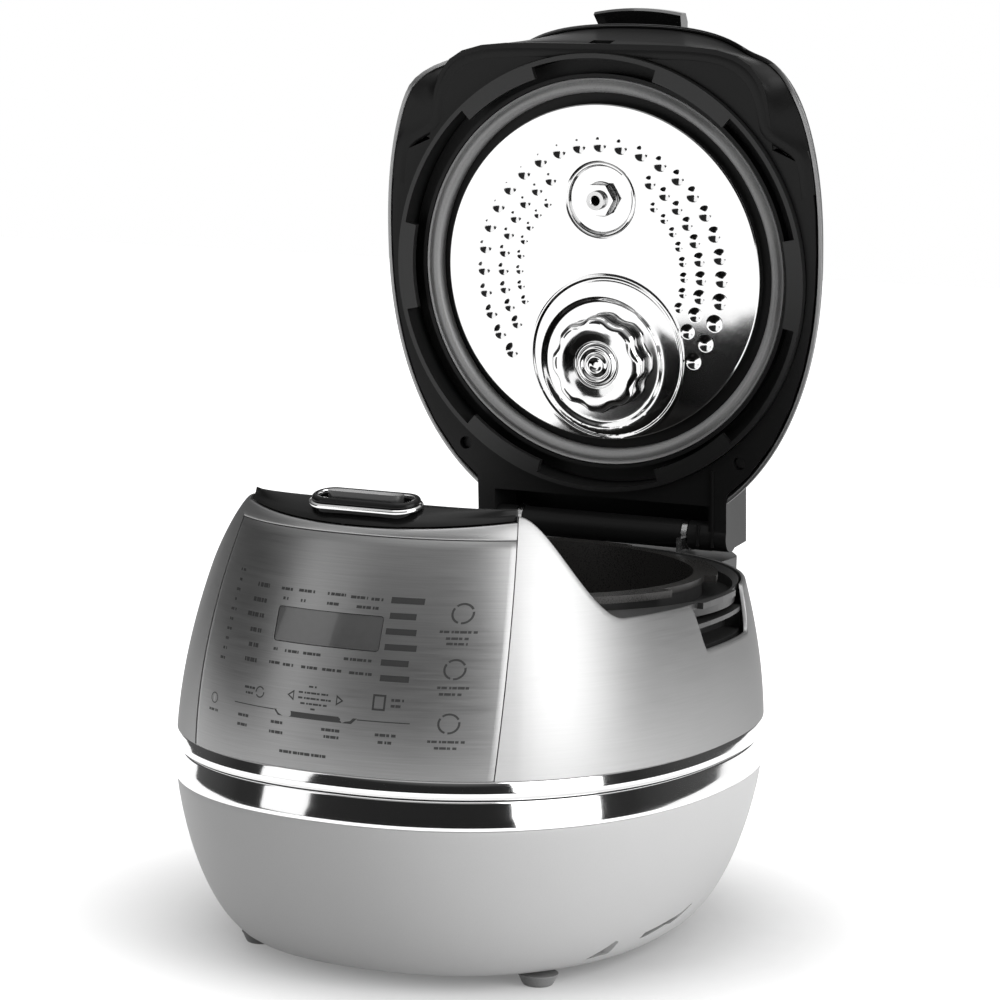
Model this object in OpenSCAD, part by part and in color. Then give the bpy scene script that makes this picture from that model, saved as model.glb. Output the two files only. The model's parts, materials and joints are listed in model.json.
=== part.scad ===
/* [Body] */
// Width of the body at its widest line
body_w = 266; // [230:1:320]
// Depth of the body at its widest line
body_d = 334; // [290:1:405]
// Roundness of the plan outline, 2 is an ellipse
plan_n = 2.25; // [2:0.05:3]
// Height of the widest line above the floor
waist_z = 98; // [85:1:115]
// Height of the front deck's corners above the floor
deck_z = 222; // [205:1:245]
// Height of the rim round the pot at the sides and rear
rim_z = 175; // [165:1:182]
// Wall of the outer skins
skin_t = 2.2; // [1.5:0.1:3.5]
// Width of the control panel
panel_w = 146; // [110:1:170]
// Height of the feet
foot_h = 5.6; // [4:0.1:9]

/* [Pot] */
// Inner radius of the pot
pot_r = 98; // [80:0.5:100]
// Wall of the pot
pot_t = 2; // [1:0.1:3]
// Inside depth of the pot
pot_depth = 112; // [90:1:120]
// Radius of the pot's bottom corner
pot_corner = 26; // [10:1:40]
// Distance of the pot's axis behind the middle of the body
pot_y = 16.5; // [5:0.5:25]

/* [Lock] */
// Number of bayonet lugs
lug_n = 6; // [4:1:8]
// Reach of the pot's lugs beyond its flange
lug_reach = 6; // [3:0.5:7]
// Wall of the locking ring
ring_t = 2.4; // [1.5:0.1:4]
// Clearance between the ring and the pot's lugs
lug_gap = 0.3; // [0.2:0.05:0.8]

/* [Lid] */
// Half-width of the lid where it meets the body
lid_a = 124; // [105:1:150]
// Half-depth of the lid's plan curve
lid_b = 157; // [130:1:190]
// Height of the closed lid's top
lid_top_z = 250; // [235:1:275]
// Angle to which the lid opens
lid_open = 84.2; // [70:0.1:95]
// Distance of the hinge behind the middle of the body
hinge_y = 153; // [140:0.5:165]
// Radius of the hinge pin
pin_r = 3; // [2:0.1:4]

/* [Inner cover] */
// Distance of the inner dish's edge inside the pot's wall
dish_in = 9.1; // [7:0.1:12]
// Distance of the knob behind the dish's centre, as a share of the dish's radius
knob_share = 0.534; // [0.4:0.001:0.65]
// Distance of the steam vent in front of the dish's centre, as a share of the dish's radius
vent_share = 0.439; // [0.35:0.001:0.54]
// Radius of the scalloped knob
knob_r = 26; // [18:0.5:32]

/* [Hidden] */
$fn = 96;
gap = 0.3;
slip = 0.05;
// the body's plan centre, in front of the frame's origin so that the open lid balances it
body_y = -22;
half_w = body_w / 2;
half_d = body_d / 2;
groove_z = waist_z + 0.3;
case_top_z = waist_z - 13.4;
band_top_z = waist_z + 9.5;
plate_z = rim_z + 2;
flange_top_z = rim_z + 5;
flange_z = flange_top_z - 3.2;
lug_z = flange_top_z - 3.5;
pot_out = pot_r + pot_t;
dish_r = pot_r - dish_in;
knob_off = knob_share * dish_r;
vent_off = vent_share * dish_r;
flange_r = pot_r + 6;
pot_lug_r = flange_r + lug_reach;
collar_in = pot_out + gap;
collar_out = collar_in + 2.2;
groove_out = pot_lug_r + 7.5;
groove_floor_z = rim_z - 5.5;
ring_out = pot_lug_r + 5.4;
ring_in = ring_out - ring_t;
ring_lug_in = flange_r + 2.6;
ring_z = lug_z - lug_gap - 3.5;
lug_half = 90 / lug_n;
hinge_z = rim_z + 9.6;
neck_half = 72;
cheek_t = 10;
lid_edge_z = deck_z + 4;
lid_plate_z = flange_top_z + 8;
pot_floor_z = flange_top_z - pot_depth;
COLS = 64;

// the skin's scale at height z: bowl below the waist, dome above it
function shrink(z) = z > waist_z ? 1 - 0.205 * pow((z - waist_z) / (deck_z + 0.5 - waist_z), 1.83)
    : z > waist_z - 8 ? 1
    : 0.70 + 0.30 * sqrt(1 - pow((waist_z - 8 - z) / (waist_z - 13), 1.45));
function signed_pow(v, e) = (v < 0 ? -1 : 1) * pow(abs(v), e);
// a point of the superellipse of half-axes a and b, at angle u from the front
function plan_point(a, b, u, z) =
    [a * signed_pow(sin(u), 2 / plan_n), -b * signed_pow(cos(u), 2 / plan_n), z];
function body_point(u, z, inset = 0) =
    plan_point(half_w * shrink(z) - inset, half_d * shrink(z) - inset, u, z);
function body_front(x, z, inset = 0) = -(half_d * shrink(z) - inset)
    * pow(1 - pow(min(1, abs(x) / (half_w * shrink(z) - inset)), plan_n), 1 / plan_n);
function ease(t) = let (c = min(1, max(0, t))) c * c * (3 - 2 * c);

function reversed(v) = [for (i = [len(v) - 1 : -1 : 0]) v[i]];
// closed skin: every column is one loop of points, and the loops join up round the body
module ring_skin(cols) {
    n = len(cols);
    m = len(cols[0]);
    polyhedron(points = [for (c = cols) each c], faces = [for (i = [0 : n - 1], j = [0 : m - 1])
        let (a = i * m + j, b = i * m + (j + 1) % m,
             c = ((i + 1) % n) * m + (j + 1) % m, d = ((i + 1) % n) * m + j)
        each [[a, b, c], [a, c, d]]], convexity = 8);
}
// open skin: the same, with each end column closed between its outer half and its inner half
module strip_skin(cols) {
    n = len(cols);
    m = len(cols[0]);
    h = m / 2;
    last = (n - 1) * m;
    polyhedron(points = [for (c = cols) each c], faces = concat(
        [for (i = [0 : n - 2], j = [0 : m - 1])
            let (a = i * m + j, b = i * m + (j + 1) % m,
                 c = (i + 1) * m + (j + 1) % m, d = (i + 1) * m + j)
            each [[a, b, c], [a, c, d]]],
        [for (j = [0 : h - 2]) each [[j, m - 2 - j, j + 1], [j, m - 1 - j, m - 2 - j]]],
        [for (j = [0 : h - 2]) each [[last + j, last + j + 1, last + m - 2 - j],
                                     [last + j, last + m - 2 - j, last + m - 1 - j]]]),
        convexity = 8);
}
module plan_outline(z, inset) polygon([for (i = [0 : 71])
    let (p = body_point(i * 5, z, inset)) [p[0], p[1]]]);
module at_body() translate([0, body_y, 0]) children();
module at_pot(z = 0) at_body() translate([0, pot_y, z]) children();
// lid pieces are drawn closed and then opened about the hinge
module on_lid() at_body() translate([0, hinge_y, hinge_z]) rotate([-lid_open, 0, 0])
    translate([0, -hinge_y, -hinge_z]) children();
module on_lid_pot(z = 0) on_lid() translate([0, pot_y, z]) children();
module ring(r_in, r_out, h) rotate_extrude() translate([r_in, 0]) square([r_out - r_in, h]);
module sector(r_in, r_out, h, mid, half) rotate([0, 0, mid - half])
    rotate_extrude(angle = 2 * half) translate([r_in, 0]) square([r_out - r_in, h]);

// --- outer body -------------------------------------------------------------
case_z = [case_top_z, waist_z - 26, waist_z - 42, waist_z - 58, waist_z - 72, waist_z - 83, foot_h + 3, foot_h + 0.3];
base_scale = 0.66;
inlet_x = -42;
inlet_z = waist_z - 48;
inlet_back = -body_front(inlet_x, inlet_z) - 1;
// air gaps low on both sides, as outlines of depth and height
side_gaps = [[[-0.44, 7], [-0.36, 7.6], [-0.36, 14], [-0.375, 15]],
    [[-0.25, 11.6], [-0.22, 11.6], [-0.12, 14.2], [-0.085, 13.4], [-0.04, 15], [0.02, 19.5], [0.015, 20.5], [-0.05, 17.4], [-0.24, 14.4]]];
module lower_case() color([0.05, 0.05, 0.05]) at_body() difference() {
    ring_skin([for (i = [0 : COLS - 1]) let (u = i * 360 / COLS)
        reversed(concat([for (z = case_z) body_point(u, z)],
            [plan_point(half_w * base_scale, half_d * base_scale, u, foot_h + 0.3),
             plan_point(half_w * base_scale, half_d * base_scale, u, foot_h + 3),
             body_point(u, waist_z - 78, 3), body_point(u, waist_z - 52, 3), body_point(u, case_top_z, 3)]))]);
    translate([inlet_x - 14 - gap, inlet_back - 26, inlet_z - 11 - gap]) cube([28 + 2 * gap, 60, 22 + 2 * gap]);
    for (side = [-1, 1], g = side_gaps) translate([side > 0 ? 0.6 * half_w : -half_w - 1, 0, foot_h]) rotate([90, 0, 90])
        linear_extrude(0.4 * half_w + 1) polygon([for (p = g) [p[0] * half_d, p[1]]]);
}
module chrome_band_lower() color([0.8, 0.8, 0.8]) at_body() ring_skin([for (i = [0 : COLS - 1])
    let (u = i * 360 / COLS, z = case_top_z + 0.3)
    reversed([body_point(u, waist_z - 0.3, 1), body_point(u, waist_z - 1.4, 0), body_point(u, waist_z - 5, -0.5),
     body_point(u, waist_z - 9, -0.4), body_point(u, z + 1, 0), body_point(u, z, 0.5),
     body_point(u, z, 3), body_point(u, waist_z - 0.3, 3.6)])]);
module chrome_band_upper() color([0.8, 0.8, 0.8]) at_body() ring_skin([for (i = [0 : COLS - 1])
    let (u = i * 360 / COLS)
    reversed([body_point(u, band_top_z - 0.3, 0), body_point(u, groove_z + 4, -0.1), body_point(u, groove_z + 2, 0.3),
     body_point(u, groove_z + 0.6, 1.2), body_point(u, groove_z, 2.2), body_point(u, groove_z, 4),
     body_point(u, band_top_z - 0.3, 3.4)])]);

// the side skin's upper edge: high beside the front deck, an S down to the rim, and a hand notch
notch_front_u = 83;
notch_rear_u = 104;
notch_deep = 21.6;
sweep_u = 38;
function skin_edge(u) = deck_z - (deck_z - rim_z - 0.2) * ease((u - sweep_u) / 25)
    - notch_deep * (ease((u - notch_front_u) / 3) - ease((u - notch_rear_u) / 6));
// the control panel's edge, in plan angle, leans outward going down
panel_low_u = asin(pow(panel_w / 2 * 1.055 / half_w, plan_n / 2));
panel_high_u = sweep_u;
function panel_u(z) = panel_low_u + (panel_high_u - panel_low_u) * (z - band_top_z) / (deck_z - band_top_z);
half_u = concat([39.5, 42, 44.5, 47, 49.5, 52, 55, 58, 61, 64, 69, 75, 80], [83, 84, 85, 86],
    [92, 98, 104, 106, 108, 110], [117, 125, 133, 141, 149, 157, 165, 173]);
skin_rows = [0, 0.16, 0.33, 0.5, 0.67, 0.84, 1];
function skin_column(u, side) = let (top = skin_edge(u), low = band_top_z) concat(
    [for (f = skin_rows) let (z = low + f * (top - low)) body_point(side * max(u, panel_u(z) + 0.2), z)],
    [for (k = [6 : -1 : 0]) let (f = skin_rows[k], z = low + f * (top - low))
        body_point(side * max(u, panel_u(z) + 0.2), z, skin_t)]);
module side_wrap() color([0.72, 0.72, 0.72]) at_body() strip_skin(concat(
    [for (u = concat([0, 37], half_u)) skin_column(u, 1)],
    [for (k = [len(half_u) - 1 : -1 : 0]) skin_column(half_u[k], -1)],
    [skin_column(37, -1), skin_column(0, -1)]));

// front panel, from the band up to the silver rim under the deck
rim_low_z = deck_z - 10;
window_x = [-30.4, 24];
window_z = [162.5, 178];
panel_rows = [for (k = [0 : 5]) band_top_z + k * (rim_low_z - 0.3 - band_top_z) / 5];
module control_panel() color([0.45, 0.45, 0.46]) at_body() difference() {
    strip_skin([for (i = [-7 : 7]) concat(
        [for (z = panel_rows) body_point(i / 7 * panel_u(z), z)],
        [for (k = [5 : -1 : 0]) body_point(i / 7 * panel_u(panel_rows[k]), panel_rows[k], skin_t)])]);
    translate([window_x[0], -half_d, window_z[0]])
        cube([window_x[1] - window_x[0], 60, window_z[1] - window_z[0]]);
}
module display_window() color([0.08, 0.09, 0.1]) at_body() intersection() {
    strip_skin([for (i = [-3 : 3]) concat(
        [for (z = [window_z[0] - 4, 170, window_z[1] + 4]) body_point(i * 6, z, 0.3)],
        [for (z = [window_z[1] + 4, 170, window_z[0] - 4]) body_point(i * 6, z, 1.9)])]);
    translate([window_x[0] + gap, -half_d, window_z[0] + gap])
        cube([window_x[1] - window_x[0] - 2 * gap, 60, window_z[1] - window_z[0] - 2 * gap]);
}

// --- front deck -------------------------------------------------------------
// the lid's front clears the locking ring, and the deck's rear clears the lid's front
lid_front = ring_out - pot_y + 4.6;
lid_front_top = lid_front + 11.5;
deck_half = 69.8 - skin_t;
deck_back = -lid_front_top - 1.3;
deck_foot_y = -lid_front - 3;
deck_back_z = deck_z + 3;
deck_front_z = deck_z - 4;
deck_xs = [for (i = [-8 : 8]) i * deck_half / 8];
// the deck's front edge rises towards its corners, and its rear edge curves forward there
function deck_edge_z(x) = deck_front_z + 4.2 * pow(abs(x) / deck_half, 2);
function deck_rear(x) = max(deck_back + 9 * pow(abs(x) / deck_half, 4), body_front(x, deck_z) + 3.5);
function deck_loop(x, drop) = let (e = deck_edge_z(x), f = body_front(x, e), r = deck_rear(x),
    t = drop * min(1, 0.3 * (r - f) / skin_t))
    [[x, body_front(x, e - 2) + t, e - 2], [x, f + 1.5 + t * 0.4, e + 0.6 - t], [x, (f + r) / 2, (e + deck_back_z) / 2 + 1.4 - t],
     [x, r - t, deck_back_z - t], [x, (r + deck_foot_y) / 2 - t, (deck_back_z + rim_z) / 2],
     [x, deck_foot_y - t, rim_z + 0.6]];
button_y = deck_back - 8.2;
button_half = 24;
button_r = 6.2;
module oval(r, half) for (s = [-1, 1]) translate([s * (half - r), 0]) circle(r);
module oval_plate(r, half) union() { oval(r, half); translate([r - half, -r]) square([2 * (half - r), 2 * r]); }
module top_deck() color([0.03, 0.03, 0.03]) at_body() difference() {
    strip_skin([for (x = deck_xs) let (a = deck_loop(x, 0), b = deck_loop(x, skin_t))
        concat(a, [for (k = [5 : -1 : 0]) b[k]])]);
    translate([0, button_y, deck_z - 20]) linear_extrude(40) oval_plate(button_r + 0.6, button_half - 3.2);
    translate([-9, deck_back, rim_z - 2]) cube([18, 20, 18]);
}
function rim_point(i, z, inset) = body_point(i / 8 * (panel_u(z) - 0.1), z, inset);
module deck_rim() color([0.75, 0.75, 0.75]) at_body() strip_skin([for (i = [-8 : 8]) let (
    x = rim_point(i, deck_z, 0)[0], e = deck_edge_z(min(abs(x), deck_half)) - 2.9, low = rim_low_z, mid = (low + e) / 2)
    [rim_point(i, low, 0), rim_point(i, mid, -0.6), rim_point(i, e, 0), rim_point(i, e, 3),
     rim_point(i, mid, 3), rim_point(i, low, 3)]]);
module button_bezel() color([0.85, 0.85, 0.85]) at_body() translate([0, button_y, deck_z + 4.1]) difference() {
    union() {
        linear_extrude(2.2) oval_plate(button_r + 3, button_half + 1);
        translate([0, 0, -9]) linear_extrude(9.1) oval_plate(button_r + 0.5, button_half - 3.3);
    }
    translate([0, 0, -10]) linear_extrude(20) oval_plate(button_r - 1, button_half - 4.8);
}
module open_button() color([0.7, 0.7, 0.7]) at_body() translate([0, button_y, deck_z + 4.1]) {
    translate([0, 0, -10]) linear_extrude(13.6) oval_plate(button_r - 1.3, button_half - 5.1);
    translate([0, 0, -11]) linear_extrude(1.7) oval_plate(button_r - 0.6, button_half - 4.4);
}
button_stem_z = deck_z - 6.9;
spring_h = 11;
latch_pivot = [button_y + 3.5, deck_z - 14];
module button_spring() color([0.6, 0.6, 0.6]) at_body() translate([-14, button_y, button_stem_z - spring_h]) ring(2.2, 3.2, spring_h);
module button_shelf() color([0.1, 0.1, 0.1]) at_body() difference() {
    union() {
        translate([-30, button_y - 6, button_stem_z - spring_h - 3]) cube([60, 14, 2.7]);
        for (x = [-9, 6.8]) translate([x, latch_pivot[0] - 3, button_stem_z - spring_h - 1])
            cube([2.2, 6, latch_pivot[1] + 3 - button_stem_z + spring_h + 1]);
    }
    translate([-6.5, button_y - 3, 0]) cube([13, 14, button_stem_z - spring_h]);
    translate([-20, latch_pivot[0], latch_pivot[1]]) rotate([0, 90, 0]) cylinder(h = 40, r = 1.5 + slip);
}
// hook that holds the lid down, turned by the button
hook_z = rim_z + 6;
hook_end = 3.3 - lid_front;
module latch_catch() color([0.6, 0.6, 0.6]) at_body() difference() {
    union() {
        translate([-5, latch_pivot[0], latch_pivot[1]]) rotate([0, 90, 0]) cylinder(h = 10, r = 4);
        translate([-5, latch_pivot[0] - 3, hook_z]) cube([10, 5, latch_pivot[1] - hook_z]);
        translate([-5, latch_pivot[0] - 3, hook_z]) cube([10, hook_end - latch_pivot[0] + 3, 3.4]);
    }
    translate([-6, latch_pivot[0], latch_pivot[1]]) rotate([0, 90, 0]) cylinder(h = 12, r = 1.5 + slip);
}
module latch_pin() color([0.6, 0.6, 0.6]) at_body() translate([-9, latch_pivot[0], latch_pivot[1]])
    rotate([0, 90, 0]) cylinder(h = 18, r = 1.5);

// --- frame round the pot ----------------------------------------------------
notch_y = [body_point(notch_front_u, rim_z)[1] + 3.5, body_point(notch_rear_u + 6, rim_z)[1] - 2.9];
module upper_frame() color([0.06, 0.06, 0.06]) at_body() {
    union() {
        translate([0, 0, rim_z - 3.2]) linear_extrude(2.9) difference() {
            intersection() {
                union() {
                    plan_outline(rim_z, skin_t + 1);
                    intersection() {
                        plan_outline(rim_z, 0.3);
                        translate([-half_w, notch_y[0] + 11]) square([body_w, notch_y[1] - notch_y[0] - 27]);
                    }
                }
                translate([-half_w, deck_foot_y - 1]) square([body_w, 2 * half_d]);
            }
            translate([0, pot_y]) circle(groove_out + 0.5);
        }
        translate([0, pot_y, 0]) rotate_extrude() union() {
            translate([collar_in, rim_z - 22]) square([collar_out - collar_in, 23.5]);
            translate([collar_in, groove_floor_z - 2]) square([groove_out + 1.5 - collar_in, 2]);
            translate([groove_out, groove_floor_z - 2]) square([1.5, rim_z - 0.3 - groove_floor_z + 2]);
        }
    }
}
module grip_pocket(side) mirror([side < 0 ? 1 : 0, 0, 0]) at_body() difference() {
    translate([0, 0, rim_z - 24]) linear_extrude(14.2) intersection() {
        plan_outline(rim_z - 15, skin_t + 1.5);
        translate([half_w - 28, notch_y[0] - 1]) square([40, notch_y[1] - notch_y[0] + 2]);
    }
    translate([half_w - 25, notch_y[0] + 2, rim_z - 21]) cube([60, notch_y[1] - notch_y[0] - 4, 9]);
}
module grip_pockets() color([0.05, 0.05, 0.05]) for (side = [-1, 1]) grip_pocket(side);

// --- pot and heating --------------------------------------------------------
module inner_pot() color([0.12, 0.11, 0.1]) at_pot() {
    rotate_extrude() difference() {
        union() {
            translate([0, pot_floor_z - pot_t]) square([pot_out - pot_corner, pot_depth / 2]);
            translate([0, pot_floor_z - pot_t + pot_corner]) square([pot_out, flange_top_z - pot_floor_z + pot_t - pot_corner]);
            translate([pot_out - pot_corner, pot_floor_z - pot_t + pot_corner]) circle(pot_corner);
            translate([pot_r, flange_z]) square([flange_r - pot_r, flange_top_z - flange_z]);
        }
        translate([0, pot_floor_z]) square([pot_r - pot_corner + pot_t, pot_depth + 1]);
        translate([0, pot_floor_z + pot_corner - pot_t]) square([pot_r, pot_depth + 1]);
        translate([pot_r - pot_corner + pot_t, pot_floor_z + pot_corner - pot_t]) circle(pot_corner - pot_t);
    }
    for (k = [0 : lug_n - 1]) translate([0, 0, lug_z])
        sector(flange_r - 0.5, pot_lug_r, flange_top_z - lug_z, (k + 0.5) * 360 / lug_n, lug_half);
}
well_floor_z = pot_floor_z - pot_t - gap - 3;
module pot_well() color([0.7, 0.7, 0.7]) at_pot() rotate_extrude() polygon([
    [22, well_floor_z], [pot_out - 4, well_floor_z], [pot_out + 2.2, well_floor_z + 6.2],
    [pot_out + 2.2, rim_z - 22.3], [pot_out + 0.9, rim_z - 22.3], [pot_out + 0.9, well_floor_z + 7],
    [pot_out - 4.6, well_floor_z + 1.4], [22, well_floor_z + 1.4]]);
coil_pitch = 6;
coil_turns = floor((pot_out - 46) / coil_pitch);
module coil_bobbin() color([0.85, 0.83, 0.75]) at_pot() rotate_extrude() difference() {
    polygon([[24, well_floor_z - 8], [pot_out - 16, well_floor_z - 8], [pot_out + 2, well_floor_z - 3],
             [pot_out + 2, well_floor_z - 0.3], [24, well_floor_z - 0.3]]);
    for (k = [0 : coil_turns - 1]) translate([31 + k * coil_pitch, well_floor_z - 5.5]) square([4.6, 7]);
}
module induction_coil() color([0.7, 0.4, 0.2]) at_pot() for (k = [0 : coil_turns - 1])
    translate([0, 0, well_floor_z - 5.2]) ring(31.3 + k * coil_pitch, 35.3 + k * coil_pitch, 4.2);
module ferrite_bars() color([0.15, 0.15, 0.15]) at_pot() for (k = [0 : 5])
    rotate([0, 0, k * 60 + 30]) translate([34, -6, well_floor_z - 13.6]) cube([44, 12, 5.3]);
module thermistor_sensor() color([0.75, 0.75, 0.75]) at_pot() {
    translate([0, 0, well_floor_z - 6]) cylinder(h = 9, r = 17);
    translate([0, 0, well_floor_z - 20]) cylinder(h = 15, r = 7);
}
module sensor_spring() color([0.6, 0.6, 0.6]) at_pot(well_floor_z - 19.5) ring(8, 9.4, 13.2);
module sensor_seat() color([0.2, 0.2, 0.2]) at_pot(well_floor_z - 22.5) {
    ring(7.4, 22, 2.7);
    ring(18.6, 21, 14);
}

// --- base, boards and fan ---------------------------------------------------
base_z = foot_h + 0.3;
module foot_place(k) translate([(k % 2 == 0 ? -1 : 1) * 0.556 * half_w, (k < 2 ? -0.491 : 0.5) * half_d, 0]) children();
module feet() color([0.06, 0.06, 0.06]) at_body() for (k = [0 : 3]) foot_place(k) {
    cylinder(h = 2, r1 = 8.7, r2 = 9.5, $fn = 48);
    translate([0, 0, 1.99]) cylinder(h = foot_h - 1.99, r = 9.5, $fn = 48);
}
fan_at = [34, 50];
fan_r = 26;
post_at = [[-72, -6], [72, -6], [-34, 84], [20, 94]];
module base_plate() color([0.08, 0.08, 0.08]) at_body() {
    translate([0, 0, base_z]) linear_extrude(2.4) difference() {
        polygon([for (i = [0 : 71]) let (p = plan_point(half_w * base_scale - gap, half_d * base_scale - gap, i * 5, 0)) [p[0], p[1]]]);
        for (i = [-4 : 4]) translate([fan_at[0] + i * 5 - 1.2, fan_at[1] - sqrt(fan_r * fan_r - i * i * 25) + 3])
            square([2.4, 2 * sqrt(fan_r * fan_r - i * i * 25) - 6]);
        for (i = [0 : 7]) translate([-60, -20 + i * 6]) square([34, 2.6]);
    }
    for (x = [-52, 52], y = [-82, -34]) translate([x, y, base_z + 2.3]) cylinder(h = 3.7, r = 3, $fn = 32);
}
board_z = base_z + 6.3;
module power_board() color([0.1, 0.35, 0.15]) at_body() translate([-60, -88, board_z]) cube([120, 60, 1.6]);
module heat_sink() color([0.6, 0.6, 0.6]) at_body() translate([12, -80, board_z + 1.9]) {
    cube([40, 30, 4]);
    for (i = [0 : 6]) translate([i * 6.2, 0, 3.9]) cube([1.6, 30, 16]);
}
module capacitors() color([0.1, 0.1, 0.3]) at_body() for (k = [0 : 2])
    translate([-44 + 19 * k, -58, board_z + 1.9]) cylinder(h = 26, r = 8, $fn = 48);
module fan_housing() color([0.1, 0.1, 0.1]) at_body() translate([fan_at[0], fan_at[1], base_z + 3]) {
    linear_extrude(15) difference() {
        square(2 * fan_r + 4, center = true);
        circle(fan_r);
    }
    for (a = [0, 90]) rotate(a) translate([-fan_r - 0.5, -1.5, 0]) cube([2 * fan_r + 1, 3, 2]);
    cylinder(h = 7, r = 1.5, $fn = 32);
}
module fan_rotor() color([0.15, 0.15, 0.15]) at_body() translate([fan_at[0], fan_at[1], base_z + 5.4]) difference() {
    union() {
        cylinder(h = 10.5, r = 10);
        for (k = [0 : 6]) rotate([0, 0, k * 360 / 7]) translate([9, 0, 5.2]) rotate([38, 0, 0])
            translate([0, -6, -0.7]) cube([15.6, 12, 1.4]);
    }
    translate([0, 0, -1]) cylinder(h = 6, r = 1.5 + slip);
}
module coil_posts() color([0.15, 0.15, 0.15]) at_body() for (p = post_at)
    translate([p[0], p[1], base_z + 2.7]) cylinder(h = well_floor_z - 8.3 - base_z - 2.7, r = 5, $fn = 48);
board_zs = [112, 196];
board_foot = body_front(42, board_zs[0]) + skin_t + 3.4;
board_tilt = atan((body_front(42, board_zs[1]) + skin_t + 2.2 - board_foot) / (board_zs[1] - board_zs[0]));
module control_board() color([0.1, 0.35, 0.15]) at_body() translate([-42, board_foot, board_zs[0]])
    rotate([-board_tilt, 0, 0]) {
        cube([84, 1.6, 86]);
        for (x = [4, 80], z = [4, 82]) translate([x, 0.1, z]) rotate([90, 0, 0]) cylinder(h = 2.6, r = 3, $fn = 32);
    }
lcd_y = [for (z = window_z) body_front(window_x[0], z)];
lcd_tilt = atan((lcd_y[1] - lcd_y[0]) / (window_z[1] - window_z[0]));
module lcd_module() color([0.3, 0.33, 0.3]) at_body() translate([window_x[0] - 1.6, lcd_y[0] + skin_t + 1.2, window_z[0] - 2])
    rotate([-lcd_tilt, 0, 0]) cube([window_x[1] - window_x[0] + 3.2, 4.5, 19]);

// --- rear -------------------------------------------------------------------
cover_half = 77;
cover_back = half_d + 6;
cover_low = 112;
function cover_y(x) = cover_back - 24 * pow(max(0, abs(x) - 50) / (cover_half - 50), 3);
module rear_cover() color([0.05, 0.05, 0.05]) at_body() {
    half_xs = [0, 25, 50, 60, 68, cover_half - 2.5, cover_half - 2.4, cover_half];
    xs = concat(reversed(half_xs), [for (k = [1 : 7]) -half_xs[k]]);
    strip_skin([for (x = xs) let (o = cover_y(x), edge = abs(x) > cover_half - 2.45,
        low_y = edge ? -body_front(x, cover_low) + 0.8 : o - 2.4,
        mid_y = edge ? -body_front(x, 140) + 0.8 : o - 2.4,
        top_y = edge ? -body_front(x, rim_z - 3) + 0.8 : o - 2.4, r = -body_front(x, rim_z - 3) + 0.8)
        [[x, o, cover_low], [x, o, 140], [x, o, rim_z - 0.3], [x, r, rim_z - 0.3],
         [x, r, rim_z - 2.7], [x, top_y + (edge ? 0.05 : 0), rim_z - 2.7], [x, mid_y, 140], [x, low_y, cover_low]]]);
}
dew_half = 31;
dew_y = [cover_back + 0.3, cover_back + 17];
dew_z = [124, 152];
module dew_dish() color([0.5, 0.5, 0.5]) at_body() {
    difference() {
        translate([-dew_half, dew_y[0], dew_z[0]]) cube([2 * dew_half, dew_y[1] - dew_y[0], dew_z[1] - dew_z[0]]);
        translate([-dew_half + 1.8, dew_y[0] + 1.8, dew_z[0] + 1.8])
            cube([2 * dew_half - 3.6, dew_y[1] - dew_y[0] - 3.6, dew_z[1] - dew_z[0]]);
    }
    for (s = [-1, 1]) translate([s > 0 ? dew_half - 0.1 : -dew_half - 3, dew_y[0], dew_z[1] - 2])
        cube([3.1, dew_y[1] - dew_y[0] - 2, 2]);
}
module dew_rails() color([0.05, 0.05, 0.05]) at_body() for (s = [-1, 1])
    translate([s > 0 ? dew_half + 0.4 : -dew_half - 5.4, cover_back + 0.1, dew_z[1] - 7])
        cube([5, 12, 4.7]);
module ac_inlet() color([0.08, 0.08, 0.08]) at_body() {
    difference() {
        translate([inlet_x - 14, inlet_back - 26, inlet_z - 11]) cube([28, 26, 22]);
        translate([inlet_x - 11.5, inlet_back - 20, inlet_z - 8.5]) cube([23, 40, 17]);
    }
    for (x = [-7, 0, 7]) translate([inlet_x + x - 1, inlet_back - 20.5, inlet_z - 3]) cube([2, 14, 5]);
}

// --- hinge ------------------------------------------------------------------
bracket_x = 48;
bracket_t = 3;
module hinge_brackets() color([0.65, 0.65, 0.65]) at_body() for (s = [-1, 1])
    translate([s * bracket_x - bracket_t / 2, 0, 0]) rotate([90, 0, 90]) linear_extrude(bracket_t) difference() {
        union() {
            translate([hinge_y, hinge_z]) circle(8);
            translate([hinge_y - 14, rim_z + 0.25]) square([15, 8]);
            translate([hinge_y - 8, rim_z + 0.25]) square([14, hinge_z - rim_z]);
        }
        translate([hinge_y, hinge_z]) circle(pin_r + slip);
    }
module hinge_pin() color([0.75, 0.75, 0.75]) at_body() translate([3 - neck_half, hinge_y, hinge_z])
    rotate([0, 90, 0]) cylinder(h = 2 * neck_half - 6, r = pin_r);
module torsion_springs() color([0.6, 0.6, 0.6]) at_body() for (s = [-1, 1])
    translate([s * 30 - 10, hinge_y, hinge_z]) rotate([0, 90, 0]) rotate_extrude()
        for (k = [0 : 10]) translate([pin_r + 1.9, k * 1.9 + 1]) circle(1, $fn = 24);

// --- lid --------------------------------------------------------------------
lid_low_z = plate_z + 0.5;
lid_taper = 21.5;
shell_t = 2.4;
frame_half = 98;
crown_h = lid_top_z - lid_edge_z;
function lid_a_at(z) = lid_a - lid_taper * pow((min(z, lid_edge_z) - plate_z) / (deck_z - plate_z), 1.35);
function lid_crown(z) = z <= lid_edge_z ? 1
    : pow(1 - pow((z - lid_edge_z) / crown_h, 1.6), 1 / 1.9);
function lid_f_at(z) = lid_front + (lid_front_top - lid_front) * (min(z, lid_edge_z) - plate_z) / (lid_edge_z - plate_z);
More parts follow.
